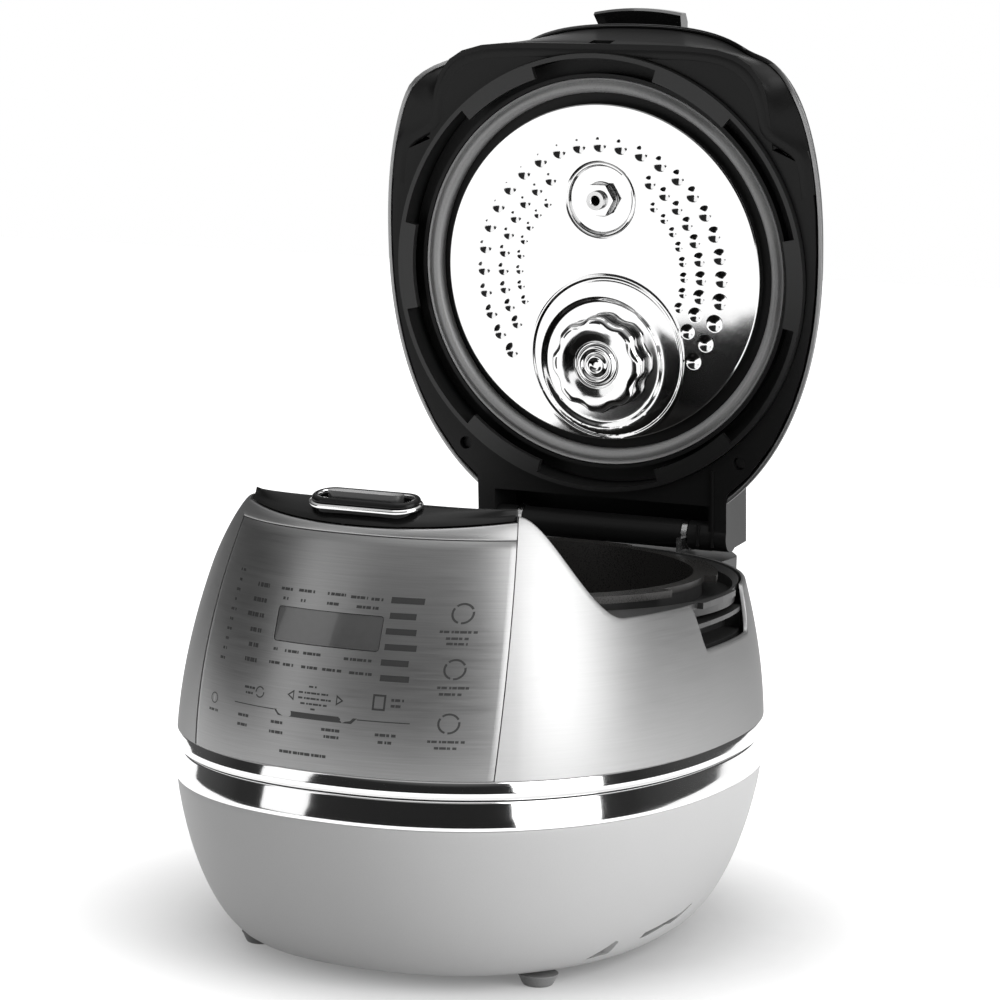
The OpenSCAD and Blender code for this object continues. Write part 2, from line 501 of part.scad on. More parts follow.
// a point of the lid's outline: the body's curve, cut off straight across the front with round corners
function lid_point(phi, z, inset = 0) = let (
    a = lid_a_at(z) * lid_crown(z) - inset, b = lid_a_at(z) * lid_b / lid_a * lid_crown(z) - inset,
    f = lid_f_at(z) * lid_crown(z) - inset,
    whole = pow(pow(abs(sin(phi)) / a, plan_n) + pow(abs(cos(phi)) / b, plan_n), 1 / plan_n),
    front = max(0, cos(phi)) / f, r = 1 / pow(pow(whole, 9) + pow(front, 9), 1 / 9))
    [r * sin(phi), -r * cos(phi), z];
half_phi = concat([0, 10, 19, 27, 33, 38, 42, 46, 50, 55, 62, 70, 80, 90], [for (a = [100 : 9 : 172]) a]);
lid_phis = concat(half_phi, [180], [for (k = [len(half_phi) - 1 : -1 : 1]) 360 - half_phi[k]]);
panel_edge_z = lid_edge_z + 0.6 * crown_h;
// the shell's lower edge follows the body's S with an even gap
function lid_low(phi) = let (q = lid_point(phi, plate_z), u = q[1] > 0 ? 90
    : atan2(pow(abs(q[0]) / lid_a, plan_n / 2), pow(-q[1] / lid_b, plan_n / 2)))
    lid_low_z + (deck_z - rim_z - 0.2) * (1 - ease((u - sweep_u) / 25));
shell_fs = [0, 0.2, 0.42, 0.66, 0.9, 1];
crown_fs = [0.12, 0.3, 0.46, 0.6];
function shell_outer(p) = let (low = lid_low(p)) concat(
    [for (f = shell_fs) lid_point(p, low + f * (lid_edge_z - low))],
    [for (f = crown_fs) lid_point(p, lid_edge_z + f * crown_h)]);
function shell_inner(p) = let (low = lid_low(p)) concat(
    [for (f = [0.6, 0.3]) lid_point(p, lid_edge_z + f * crown_h, shell_t)],
    [for (f = [1, 0.66, 0.2, 0]) lid_point(p, low + f * (lid_edge_z - low), shell_t)]);
module lid_shell() color([0.72, 0.72, 0.72]) on_lid() difference() {
    ring_skin([for (p = lid_phis) concat(shell_outer(p), shell_inner(p))]);
    translate([-neck_half - gap, 118.6, plate_z - 5]) cube([2 * neck_half + 2 * gap, 60, 34.4]);
}
// the lid's front wall runs from the frame's edge up to the shell's edge
wall_phi = 62;
function wall_point(phi, z, inset = 0) = let (
    whole = pow(pow(abs(sin(phi)) / (frame_half - inset), plan_n) + pow(abs(cos(phi)) / 300, plan_n), 1 / plan_n),
    r = 1 / pow(pow(whole, 7) + pow(max(0, cos(phi)) / (lid_front - inset), 7), 1 / 7))
    [r * sin(phi), -r * cos(phi), z];
function wall_column(phi, t) = let (a = wall_point(phi, plate_z + 1, 0.4 + t),
    top = max(plate_z + 1.8, lid_low(phi) + 0.4), b = lid_point(phi, top, 3.9 + t))
    [for (f = [0, 0.3, 0.65, 1]) a + f * (b - a)];
panel_zs = [panel_edge_z + gap, lid_edge_z + 0.72 * crown_h, lid_edge_z + 0.84 * crown_h, lid_edge_z + 0.93 * crown_h,
    lid_edge_z + 0.985 * crown_h];
weight_off = 48;
module lid_top_panel() color([0.04, 0.04, 0.04]) on_lid() difference() {
    ring_skin([for (p = lid_phis) concat([for (z = panel_zs) lid_point(p, z)],
        [for (k = [4 : -1 : 0]) let (q = lid_point(p, panel_zs[k])) [q[0] * 0.94, q[1] * 0.94, q[2] - 2.2]],
        [lid_point(p, panel_zs[0], 3.6)])]);
    translate([0, pot_y + weight_off, lid_edge_z]) cylinder(h = 40, r = 20.5);
    translate([0, pot_y, lid_edge_z]) cylinder(h = 40, r = 11);
}
screw_at = [[-79, 112], [79, 112]];
// the hinge barrel's cover hides the pin and its springs, and is split at the brackets
barrel_out = 8.3;
barrel_in = pin_r + 3.9;
barrel_spans = [[-neck_half + cheek_t - 0.1, -bracket_x - bracket_t / 2 - 0.6],
    [-bracket_x + bracket_t / 2 + 0.6, bracket_x - bracket_t / 2 - 0.6],
    [bracket_x + bracket_t / 2 + 0.6, neck_half - cheek_t + 0.1]];
module hinge_barrel() for (b = barrel_spans) translate([b[0], hinge_y, hinge_z]) {
    rotate([0, 90, 0]) rotate([0, 0, -70]) rotate_extrude(angle = 140)
        translate([barrel_in, 0]) square([barrel_out - barrel_in, b[1] - b[0]]);
    translate([0, barrel_in - 0.5, -3]) cube([b[1] - b[0], barrel_out - barrel_in + 0.2, 15]);
}
// thin ribs down the neck: place across, and where each starts and ends
neck_ribs = [[63.6, 117, 158], [55.4, 146.5, 158]];
wall_phis = concat([for (k = [10 : -1 : 1]) -half_phi[k]], [for (k = [0 : 10]) half_phi[k]]);
module lid_frame() color([0.55, 0.55, 0.56]) on_lid() difference() {
    union() {
        translate([0, 0, plate_z]) linear_extrude(2.4) difference() {
            polygon([for (p = lid_phis) let (s = p > 180 ? 360 - p : p,
                q = s < wall_phi + 1 ? wall_point(p, 0) : lid_point(p, plate_z, 3.3)) [q[0], q[1]]]);
            translate([0, pot_y]) circle(ring_out + 0.5);
            translate([-100, 134]) square([200, 60]);
        }
        strip_skin([for (p = wall_phis) let (o = wall_column(p, 0), i = wall_column(p, 2))
            concat(o, [for (k = [3 : -1 : 0]) i[k]])]);
        for (s = screw_at) translate([s[0], s[1], plate_z + 2.3]) cylinder(h = 7, r = 4.6, $fn = 48);
        hinge_barrel();
        for (r = neck_ribs) translate([r[0], r[1], plate_z - 0.9]) cube([1.2, r[2] - r[1], 2]);
        translate([-neck_half, 132.8, plate_z]) cube([2 * neck_half, 3.2, 29]);
        translate([-neck_half, 124, plate_z + 26.5]) cube([2 * neck_half, 36, 2.5]);
        translate([-neck_half, 155.5, hinge_z + 10.5]) cube([2 * neck_half, 4.5, plate_z + 29 - hinge_z - 10.5]);
        for (s = [-1, 1]) translate([s > 0 ? neck_half - cheek_t : -neck_half, 0, 0]) rotate([90, 0, 90])
            linear_extrude(cheek_t) union() {
                translate([hinge_y, hinge_z]) circle(8.3);
                translate([119, plate_z]) square([hinge_y - 119, 29]);
                translate([hinge_y - 1, hinge_z]) square([8, 20.9]);
            }
    }
    for (s = screw_at) translate([s[0], s[1], plate_z - 1]) cylinder(h = 7, r = 3.4, $fn = 48);
    translate([2.7 - neck_half, hinge_y, hinge_z]) rotate([0, 90, 0]) cylinder(h = 2 * neck_half - 5.4, r = pin_r + slip);
    translate([-6.2, -lid_front - 6, plate_z + 3.2]) cube([12.4, 12, 8]);
}
module frame_screws() color([0.6, 0.6, 0.6]) on_lid() for (s = screw_at)
    translate([s[0], s[1], plate_z + 3.6]) cylinder(h = 2.3, r = 3, $fn = 32);
module lid_striker() color([0.6, 0.6, 0.6]) on_lid() translate([0, -lid_front + 2.5, plate_z + 2.5]) difference() {
    translate([-10, 0, 0]) cube([20, 1.6, 11]);
    translate([-6, -1, 1]) cube([12, 4, 8]);
}

// --- lock -------------------------------------------------------------------
spider_z = lid_plate_z + 3.4;
module locking_ring() color([0.75, 0.75, 0.75]) on_lid_pot() {
    rotate_extrude() polygon([[ring_in, ring_z], [ring_out, ring_z], [ring_out, plate_z + 2.4],
        [ring_out - 1.2, plate_z + 3.6], [ring_out - 1.2, spider_z + 2], [ring_in - 4, spider_z + 2],
        [ring_in - 4, spider_z], [ring_in, spider_z]]);
    for (k = [0 : lug_n - 1]) translate([0, 0, ring_z])
        sector(ring_lug_in, ring_in + 0.5, 3.5, k * 360 / lug_n, lug_half - 3);
}
module lock_spindle() color([0.6, 0.6, 0.6]) on_lid_pot(spider_z) {
    linear_extrude(2) union() {
        circle(16);
        for (a = [30, 150, 300]) rotate(a) translate([10, -8]) square([ring_in - 4.4 - 10, 16]);
    }
    translate([0, 0, 1]) cylinder(h = lid_top_z - 0.4 - spider_z, r = 5.98);
}
lever_half = 10.8;
lever_r = 133.5;
module lock_lever() color([0.05, 0.05, 0.05]) on_lid_pot() difference() {
    union() {
        rotate([0, 0, -90 - lever_half]) rotate_extrude(angle = 2 * lever_half) polygon([
            [9, lid_top_z + 0.6], [60, lid_top_z - 0.4], [100, lid_top_z - 6], [118, lid_top_z - 11], [lever_r - 5.5, lid_top_z - 15.5],
            [lever_r, lid_top_z - 19], [lever_r + 1.2, lid_top_z - 17], [lever_r + 1, lid_top_z - 12], [lever_r - 4, lid_top_z - 7],
            [112, lid_top_z], [70, lid_top_z + 4.4], [9, lid_top_z + 6]]);
        translate([0, 0, lid_top_z + 0.6]) cylinder(h = 5.6, r = 22);
    }
    translate([0, 0, lid_top_z - 1]) cylinder(h = 4, r = 6);
}

// --- inner side of the lid --------------------------------------------------
gasket_in = flange_r - 9.5;
module lid_plate() color([0.75, 0.75, 0.75]) on_lid_pot() difference() {
    union() {
        translate([0, 0, lid_plate_z]) cylinder(h = 2.5, r = ring_in - 0.4);
        translate([0, 0, lid_plate_z - 7]) ring(flange_r - 1.5, flange_r + 0.4, 7.1);
        translate([0, 0, lid_plate_z + 2.4]) ring(ring_in - 12, ring_in - 7, 0.7);
    }
    translate([0, -vent_off, lid_plate_z - 1]) cylinder(h = 8, r = 7 + slip);
    translate([0, knob_off, lid_plate_z - 1]) cylinder(h = 8, r = 4 + slip);
}
module lid_gasket() color([0.82, 0.82, 0.82]) on_lid_pot(flange_top_z + gap) rotate_extrude() polygon([
    [gasket_in, 1.2], [gasket_in + 1, 0], [gasket_in + 4, 0], [gasket_in + 5, 2.6], [gasket_in + 5.6, 0.2], [flange_r - 2.4, 0],
    [flange_r - 1.8, 1], [flange_r - 1.8, 7.4], [gasket_in, 7.4]]);
dish_z = flange_top_z + 1;
// rows of dimples: share of the dish's radius, width, and the first and last one counted from the front
dimple_rows = [[0.765, 8, 0, 13], [0.636, 7, 3, 12], [0.529, 5, 4, 11]];
module inner_dish() color([0.78, 0.78, 0.78]) on_lid_pot(dish_z) {
    linear_extrude(0.7) difference() {
        circle(dish_r);
        translate([0, -vent_off]) circle(18);
        translate([0, knob_off]) circle(6);
        for (row = dimple_rows, k = [row[2] : 13], s = [-1, 1]) if (k > 0 || s > 0)
            if (k <= row[3]) rotate(-90 + s * k * 10) translate([row[0] * dish_r, 0]) circle(row[1] / 2, $fn = 24);
    }
    translate([0, 0, 0.65]) linear_extrude(0.6) difference() {
        circle(dish_r);
        translate([0, -vent_off]) circle(18);
        translate([0, knob_off]) circle(6);
    }
    ring(dish_r - 1.2, dish_r, 4.6);
}
module dish_packing() color([0.85, 0.85, 0.85]) on_lid_pot(dish_z + 1.55) ring(dish_r - 4.5, dish_r - 1.5, 5);
module dish_knob() color([0.8, 0.8, 0.8]) on_lid_pot() translate([0, knob_off, dish_z - 9]) difference() {
    union() {
        linear_extrude(7) difference() {
            circle(knob_r);
            for (k = [0 : 7]) rotate(k * 45 + 22.5) translate([knob_r + 4.2, 0]) circle(8);
        }
        cylinder(h = 8.7, r = 12.6);
    }
    translate([0, 0, 2]) cylinder(h = 20, r = 4 + slip);
}
module knob_stud() color([0.6, 0.6, 0.6]) on_lid_pot() translate([0, knob_off, dish_z - 6]) cylinder(h = 16.5, r = 4);
module steam_nozzle() color([0.75, 0.75, 0.75]) on_lid_pot() translate([0, -vent_off, dish_z - 9]) difference() {
    union() {
        cylinder(h = 12, r = 5);
        translate([0, 0, 9]) cylinder(h = 5, r = 9);
        translate([0, 0, 9]) cylinder(h = 19, r = 7);
    }
    translate([0, 0, -1]) cylinder(h = 40, r = 2.5);
}
module nozzle_nut() color([0.7, 0.7, 0.7]) on_lid_pot() translate([0, -vent_off, dish_z - 4]) difference() {
    cylinder(h = 3.8, r = 9, $fn = 6);
    translate([0, 0, -1]) cylinder(h = 8, r = 5 + slip);
}
duct_z = spider_z + 4;
module steam_duct() color([0.2, 0.2, 0.2]) on_lid_pot(duct_z) difference() {
    union() {
        translate([-4, -vent_off - 13, 0]) cube([34, 16, 12]);
        translate([16, -vent_off - 6, 0]) cube([14, vent_off + weight_off + 12, 12]);
        translate([-4, weight_off - 10, 0]) cube([34, 18, 12]);
        translate([0, -vent_off, 0]) cylinder(h = 12, r = 13);
        translate([0, weight_off, 0]) cylinder(h = 16, r = 13);
    }
    translate([0, -vent_off, -1]) cylinder(h = 11, r = 7 + slip);
    translate([0, weight_off, 8]) cylinder(h = 12, r = 3 + slip);
}
module pressure_weight() color([0.75, 0.65, 0.35]) on_lid_pot() translate([0, weight_off, duct_z + 9]) {
    cylinder(h = 10, r = 3);
    translate([0, 0, 7.3]) cylinder(h = 20, r = 9);
}
cap_z = lid_top_z - 6;
module steam_cap() color([0.05, 0.05, 0.05]) on_lid_pot(cap_z) translate([0, weight_off, 0]) difference() {
    union() {
        cylinder(h = 10, r = 19.5);
        translate([0, 0, 9.9]) cylinder(h = 2.5, r1 = 19.5, r2 = 15);
    }
    translate([0, 0, -1]) cylinder(h = 10, r = 17);
    for (k = [0 : 5]) rotate([0, 0, k * 60]) translate([8, -1.5, 0]) cube([6, 3, 20]);
}

lower_case();
chrome_band_lower();
chrome_band_upper();
side_wrap();
control_panel();
display_window();
lcd_module();
control_board();
top_deck();
deck_rim();
button_bezel();
open_button();
button_spring();
button_shelf();
latch_catch();
latch_pin();
upper_frame();
grip_pockets();
inner_pot();
pot_well();
coil_bobbin();
induction_coil();
ferrite_bars();
thermistor_sensor();
sensor_spring();
sensor_seat();
coil_posts();
base_plate();
feet();
power_board();
heat_sink();
capacitors();
fan_housing();
fan_rotor();
ac_inlet();
rear_cover();
dew_dish();
dew_rails();
hinge_brackets();
hinge_pin();
torsion_springs();
lid_shell();
lid_top_panel();
lid_frame();
frame_screws();
lid_striker();
locking_ring();
lock_spindle();
lock_lever();
lid_plate();
lid_gasket();
inner_dish();
dish_packing();
dish_knob();
knob_stud();
steam_nozzle();
nozzle_nut();
steam_duct();
pressure_weight();
steam_cap();
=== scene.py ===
import json
import math
import bpy
import bmesh
from mathutils import Matrix, Vector, geometry


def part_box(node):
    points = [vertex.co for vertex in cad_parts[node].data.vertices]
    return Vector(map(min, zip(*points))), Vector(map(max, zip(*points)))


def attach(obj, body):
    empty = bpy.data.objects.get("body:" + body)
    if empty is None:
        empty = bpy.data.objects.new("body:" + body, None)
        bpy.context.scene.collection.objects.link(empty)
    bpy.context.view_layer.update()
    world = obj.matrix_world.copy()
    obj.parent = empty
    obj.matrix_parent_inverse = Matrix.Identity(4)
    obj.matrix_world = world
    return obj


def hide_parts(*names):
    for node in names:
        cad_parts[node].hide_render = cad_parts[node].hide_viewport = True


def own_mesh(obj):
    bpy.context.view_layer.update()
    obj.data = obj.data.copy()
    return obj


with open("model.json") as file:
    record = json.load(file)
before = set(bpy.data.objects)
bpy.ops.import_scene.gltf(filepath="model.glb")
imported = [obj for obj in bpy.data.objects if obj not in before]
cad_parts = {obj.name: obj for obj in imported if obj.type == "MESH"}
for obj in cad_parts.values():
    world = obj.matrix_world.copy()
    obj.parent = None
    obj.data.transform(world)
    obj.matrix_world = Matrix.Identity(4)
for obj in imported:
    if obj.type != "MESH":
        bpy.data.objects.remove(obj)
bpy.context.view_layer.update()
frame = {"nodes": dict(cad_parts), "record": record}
record = frame["record"]

# --- sizes in mm, from the middle of the body and the floor ------------------
case_low, case_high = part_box("lower_case")
upper_low, upper_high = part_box("chrome_band_upper")
BODY_Y = (case_low[1] + case_high[1]) / 2 * 1000
HALF_W = 133.0
HALF_D = 167.0
PLAN_N = 2.25  # power of the body's rounded outline
WAIST = 98.0  # height where the body is widest
DECK = 222.0
RIM = 175.0
SKIN = 2.2
PANEL_W = 146.0
FOOT = 5.6
POT_Y = 16.5
BAND_TOP = WAIST + 9.5
CASE_TOP = WAIST - 13.4
PLATE = RIM + 2  # face of the closed lid's pressure plate
FLANGE_TOP = RIM + 5
LID_A = 124.0
LID_B = 157.0
LID_TOP = 250.0
LID_EDGE = DECK + 4  # where the lid's side wall turns into its crown
CROWN = LID_TOP - LID_EDGE
HINGE_Y = 153.0
HINGE_Z = RIM + 9.6
OPEN = 84.2  # degrees that the lid stands open at rest
DISH_R = 88.9
DISH_Z = FLANGE_TOP + 1
KNOB_OFF = 47.5
KNOB_R = 26.0
VENT_OFF = 39.0
NECK = 72.0
EDGE_U = 38.0  # plan angle where the skin's top edge starts down its S
EDGE_SPAN = 25.0


# --- places ------------------------------------------------------------------
def at(x, y, z):
    """A point given from the middle of the body, in mm, as a point of the row frame in metres."""
    return Vector((x, y + BODY_Y, z)) / 1000


def on_lid(x, y, z):
    """The same for a point of the lid, given with the lid closed."""
    turn = math.radians(OPEN)
    dy, dz = y - HINGE_Y, z - HINGE_Z
    open_y = HINGE_Y + dy * math.cos(turn) + dz * math.sin(turn)
    open_z = HINGE_Z - dy * math.sin(turn) + dz * math.cos(turn)
    return at(x, open_y, open_z)


def on_pot_lid(x, y, z):
    """A point of the lid given from the pot's axis."""
    return on_lid(x, y + POT_Y, z)


def at_vent(x, y, z):
    return on_pot_lid(x, y - VENT_OFF, z)


def at_knob(x, y, z):
    return on_pot_lid(x, y + KNOB_OFF, z)


def shrink(z):
    """The body's size at a height, as a share of its size at the waist."""
    if z > WAIST:
        return 1 - 0.205 * ((z - WAIST) / (DECK + 0.5 - WAIST)) ** 1.83
    if z > WAIST - 8:
        return 1.0
    return 0.70 + 0.30 * math.sqrt(max(0.0, 1 - ((WAIST - 8 - z) / (WAIST - 13)) ** 1.45))


def signed_power(v, e):
    return math.copysign(abs(v) ** e, v)


def plan(a, b, u, z):
    """A point at plan angle u, in degrees from the front, on a rounded outline of half sizes a and b."""
    r = math.radians(u)
    return (a * signed_power(math.sin(r), 2 / PLAN_N), -b * signed_power(math.cos(r), 2 / PLAN_N), z)


def body(u, z, inset=0.0):
    return plan(HALF_W * shrink(z) - inset, HALF_D * shrink(z) - inset, u, z)


def body_front(x, z, inset=0.0):
    a, b = HALF_W * shrink(z) - inset, HALF_D * shrink(z) - inset
    return -b * (1 - min(1.0, abs(x) / a) ** PLAN_N) ** (1 / PLAN_N)


def ease(t):
    c = min(1.0, max(0.0, t))
    return c * c * (3 - 2 * c)


def skin_edge(u):
    """The side skin's top edge: down the S to the pot's rim, with a notch for the hand."""
    notch = ease((u - 83) / 3) - ease((u - 104) / 6)
    return DECK - (DECK - RIM - 0.2) * ease((u - EDGE_U) / EDGE_SPAN) - 21.6 * notch


PANEL_LOW_U = math.degrees(math.asin((PANEL_W / 2 * 1.055 / HALF_W) ** (PLAN_N / 2)))


def panel_u(z):
    """The plan angle of the panel's side edge."""
    return PANEL_LOW_U + (EDGE_U - PANEL_LOW_U) * (z - BAND_TOP) / (DECK - BAND_TOP)


def even(n):
    """Plan angles all round, evenly spaced along the outline rather than in angle."""
    fine = [plan(HALF_W, HALF_D, k / 10, 0) for k in range(3601)]
    run = [0.0]
    for p, q in zip(fine, fine[1:]):
        run.append(run[-1] + math.dist(p, q))
    out, j = [], 0
    for i in range(n):
        want = run[-1] * i / n
        while run[j + 1] < want:
            j += 1
        out.append((j + (want - run[j]) / (run[j + 1] - run[j])) / 10)
    return out


# --- meshes ------------------------------------------------------------------
def mesh_object(name, verts, faces, angle=35, smooth=True):
    m = bpy.data.meshes.new(name)
    m.from_pydata([tuple(v) for v in verts], [], faces)
    bm = bmesh.new()
    bm.from_mesh(m)
    bmesh.ops.remove_doubles(bm, verts=bm.verts, dist=1e-6)
    bmesh.ops.recalc_face_normals(bm, faces=bm.faces)
    bm.to_mesh(m)
    bm.free()
    if smooth:
        m.shade_smooth()
        m.set_sharp_from_angle(angle=math.radians(angle))
    o = bpy.data.objects.new(name, m)
    bpy.context.scene.collection.objects.link(o)
    return o


def loft(name, columns, round_columns=True, round_rows=True, caps=False, angle=35):
    """Quads between neighbouring columns of points, all of one length."""
    n, m = len(columns), len(columns[0])
    verts = [p for c in columns for p in c]
    faces = []
    for i in range(n if round_columns else n - 1):
        for j in range(m if round_rows else m - 1):
            k, l = (i + 1) % n, (j + 1) % m
            faces.append((i * m + j, i * m + l, k * m + l, k * m + j))
    if caps:
        faces.append(tuple(range(m)))
        faces.append(tuple((n - 1) * m + j for j in range(m - 1, -1, -1)))
    return mesh_object(name, verts, faces, angle)


def spin(name, profile, place, steps=160, closed=True, angle=35):
    """A profile of (radius, z) points turned about an axis, then placed."""
    columns = []
    for i in range(steps):
        a = math.tau * i / steps
        columns.append([place(r * math.cos(a), r * math.sin(a), z) for r, z in profile])
    return loft(name, columns, True, closed, angle=angle)


def lifted(z0, *rows):
    """Rows of (radius or offset, z) with z given from z0."""
    return [(r, z0 + z) for r, z in rows]


def prism_faces(n):
    """The faces of a prism whose two outlines of n points follow one another."""
    ends = [tuple(range(n)), tuple(range(2 * n - 1, n - 1, -1))]
    return ends + [(i, (i + 1) % n, n + (i + 1) % n, n + i) for i in range(n)]


def prism(name, outline, z0, z1, place):
    verts = [place(x, y, z) for z in (z0, z1) for x, y in outline]
    return mesh_object(name, verts, prism_faces(len(outline)))


def disc(name, x, y, r, z0, z1, place, n=96):
    outline = [(x + r * math.cos(math.tau * k / n), y + r * math.sin(math.tau * k / n)) for k in range(n)]
    return prism(name, outline, z0, z1, place)


def block(name, x0, x1, y0, y1, z0, z1, place=at):
    corners = [(x, y, z) for x in (x0, x1) for y in (y0, y1) for z in (z0, z1)]
    faces = [(0, 1, 3, 2), (4, 6, 7, 5), (0, 4, 5, 1), (2, 3, 7, 6), (0, 2, 6, 4), (1, 5, 7, 3)]
    return mesh_object(name, [place(*p) for p in corners], faces, smooth=False)


def applied(o, modifier, angle):
    """The mesh of o with its modifier taken in for good."""
    bpy.context.view_layer.update()
    done = bpy.data.meshes.new_from_object(o.evaluated_get(bpy.context.evaluated_depsgraph_get()))
    o.modifiers.remove(modifier)
    o.data = done
    o.data.shade_smooth()
    o.data.set_sharp_from_angle(angle=math.radians(angle))


def cut(o, cutter):
    """Takes the cutter out of o."""
    modifier = o.modifiers.new("cut", "BOOLEAN")
    modifier.operation = "DIFFERENCE"
    modifier.solver = "EXACT"
    modifier.object = cutter
    applied(o, modifier, 35)
    bpy.data.objects.remove(cutter)
    return o


def rounded(o, width, segments=3):
    """Rounds the edges."""
    modifier = o.modifiers.new("round", "BEVEL")
    modifier.width, modifier.segments = width / 1000, segments
    modifier.limit_method, modifier.angle_limit = "ANGLE", math.radians(35)
    applied(o, modifier, 40)
    return o


def piece(o, body_name, slot_name, *nodes, look=None):
    """Gives o its finish, from look or else from the slot's name, puts it on its body, and hides the nodes
    that it replaces.
    """
    o.data.materials.clear()
    o.data.materials.append(M[look or slot_name])
    if nodes:
        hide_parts(*nodes)
    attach(o, body_name)
    return o


# --- materials --------------------------------------------------------------
class Net:
    """A node tree whose nodes are joined as they are added."""

    def __init__(self, tree):
        self.tree = tree

    def join(self, value, socket):
        """Links an output to the socket, or sets the socket to a plain value."""
        if isinstance(value, bpy.types.NodeSocket):
            self.tree.links.new(value, socket)
        else:
            socket.default_value = value

    def add(self, kind, inputs, out=0, **settings):
        """Adds a node and gives the output called out; inputs go by name or number."""
        node = self.tree.nodes.new("ShaderNode" + kind)
        for key, value in settings.items():
            setattr(node, key, value)
        for key, value in inputs.items():
            self.join(value, node.inputs[key])
        return node.outputs[out]

    def coords(self, scale=(1, 1, 1)):
        return self.add("Mapping", {"Scale": scale, "Vector": self.add("TexCoord", {}, "Object")})

    def noise(self, vector, scale, detail=4.0, rough=0.6):
        inputs = {"Vector": vector, "Scale": scale, "Detail": detail, "Roughness": rough}
        return self.add("TexNoise", inputs, "Fac")

    def spread(self, value, a, b, low=0.3, high=0.7):
        """value taken from the range low to high into the range a to b."""
        inputs = {"Value": value, "From Min": low, "From Max": high, "To Min": a, "To Max": b}
        return self.add("MapRange", inputs, "Result")

    def tint(self, value, a, b):
        return self.add("Mix", {"Factor": value, "A": (*a, 1), "B": (*b, 1)}, "Result", data_type="RGBA")

    def math(self, operation, *values, **settings):
        return self.add("Math", dict(enumerate(values)), operation=operation, **settings)

    def level(self, value, steps):
        """A grey level that follows value through steps of (place, grey level)."""
        ramp = self.tree.nodes.new("ShaderNodeValToRGB")
        e = ramp.color_ramp.elements
        for element, (place, shade) in ((e[0], steps[0]), (e[1], steps[-1])):
            element.position, element.color = place, (*grey(shade), 1)
        for place, shade in steps[1:-1]:
            e.new(place).color = (*grey(shade), 1)
        self.join(value, ramp.inputs[0])
        return ramp.outputs[0]


def new_material(name):
    m = bpy.data.materials.new(name)
    m.use_nodes = True
    return m, Net(m.node_tree), m.node_tree.nodes["Principled BSDF"].inputs


def grey(v, warm=0.0):
    """A grey level, with a little more red and less blue where it is warm."""
    return (v * (1 + warm), v, v * (1 - warm))


GRAIN_SHARE, CLOUD_SHARE = 0.6, 0.4


def finish_of(name, color, rough, metal, size, shade, rough_by, bump_by, bump_depth,
              scale=(1, 1, 1), detail=4.0, **more):
    """A finish whose colour, roughness and relief vary together, over grain of about 1/size metres."""
    m, net, look = new_material(name)
    grain = net.noise(net.coords(scale), size, detail)
    cloud = net.noise(net.coords(), 14.0, 2.0, 0.5)
    mixed = net.math("MULTIPLY_ADD", grain, GRAIN_SHARE, net.math("MULTIPLY", cloud, CLOUD_SHARE))
    dark, light = [tuple(min(1.0, c * k) for c in color) for k in (1 - shade, 1 + shade)]
    net.join(net.tint(net.spread(mixed, 0, 1), dark, light), look["Base Color"])
    net.join(net.spread(mixed, max(0.01, rough - rough_by), rough + rough_by), look["Roughness"])
    net.join(metal, look["Metallic"])
    relief = {"Strength": bump_by, "Distance": bump_depth, "Height": grain}
    net.join(net.add("Bump", relief, "Normal"), look["Normal"])
    for key, value in more.items():
        net.join(value, look[key])
    m.diffuse_color = (*color, 1)
    return m


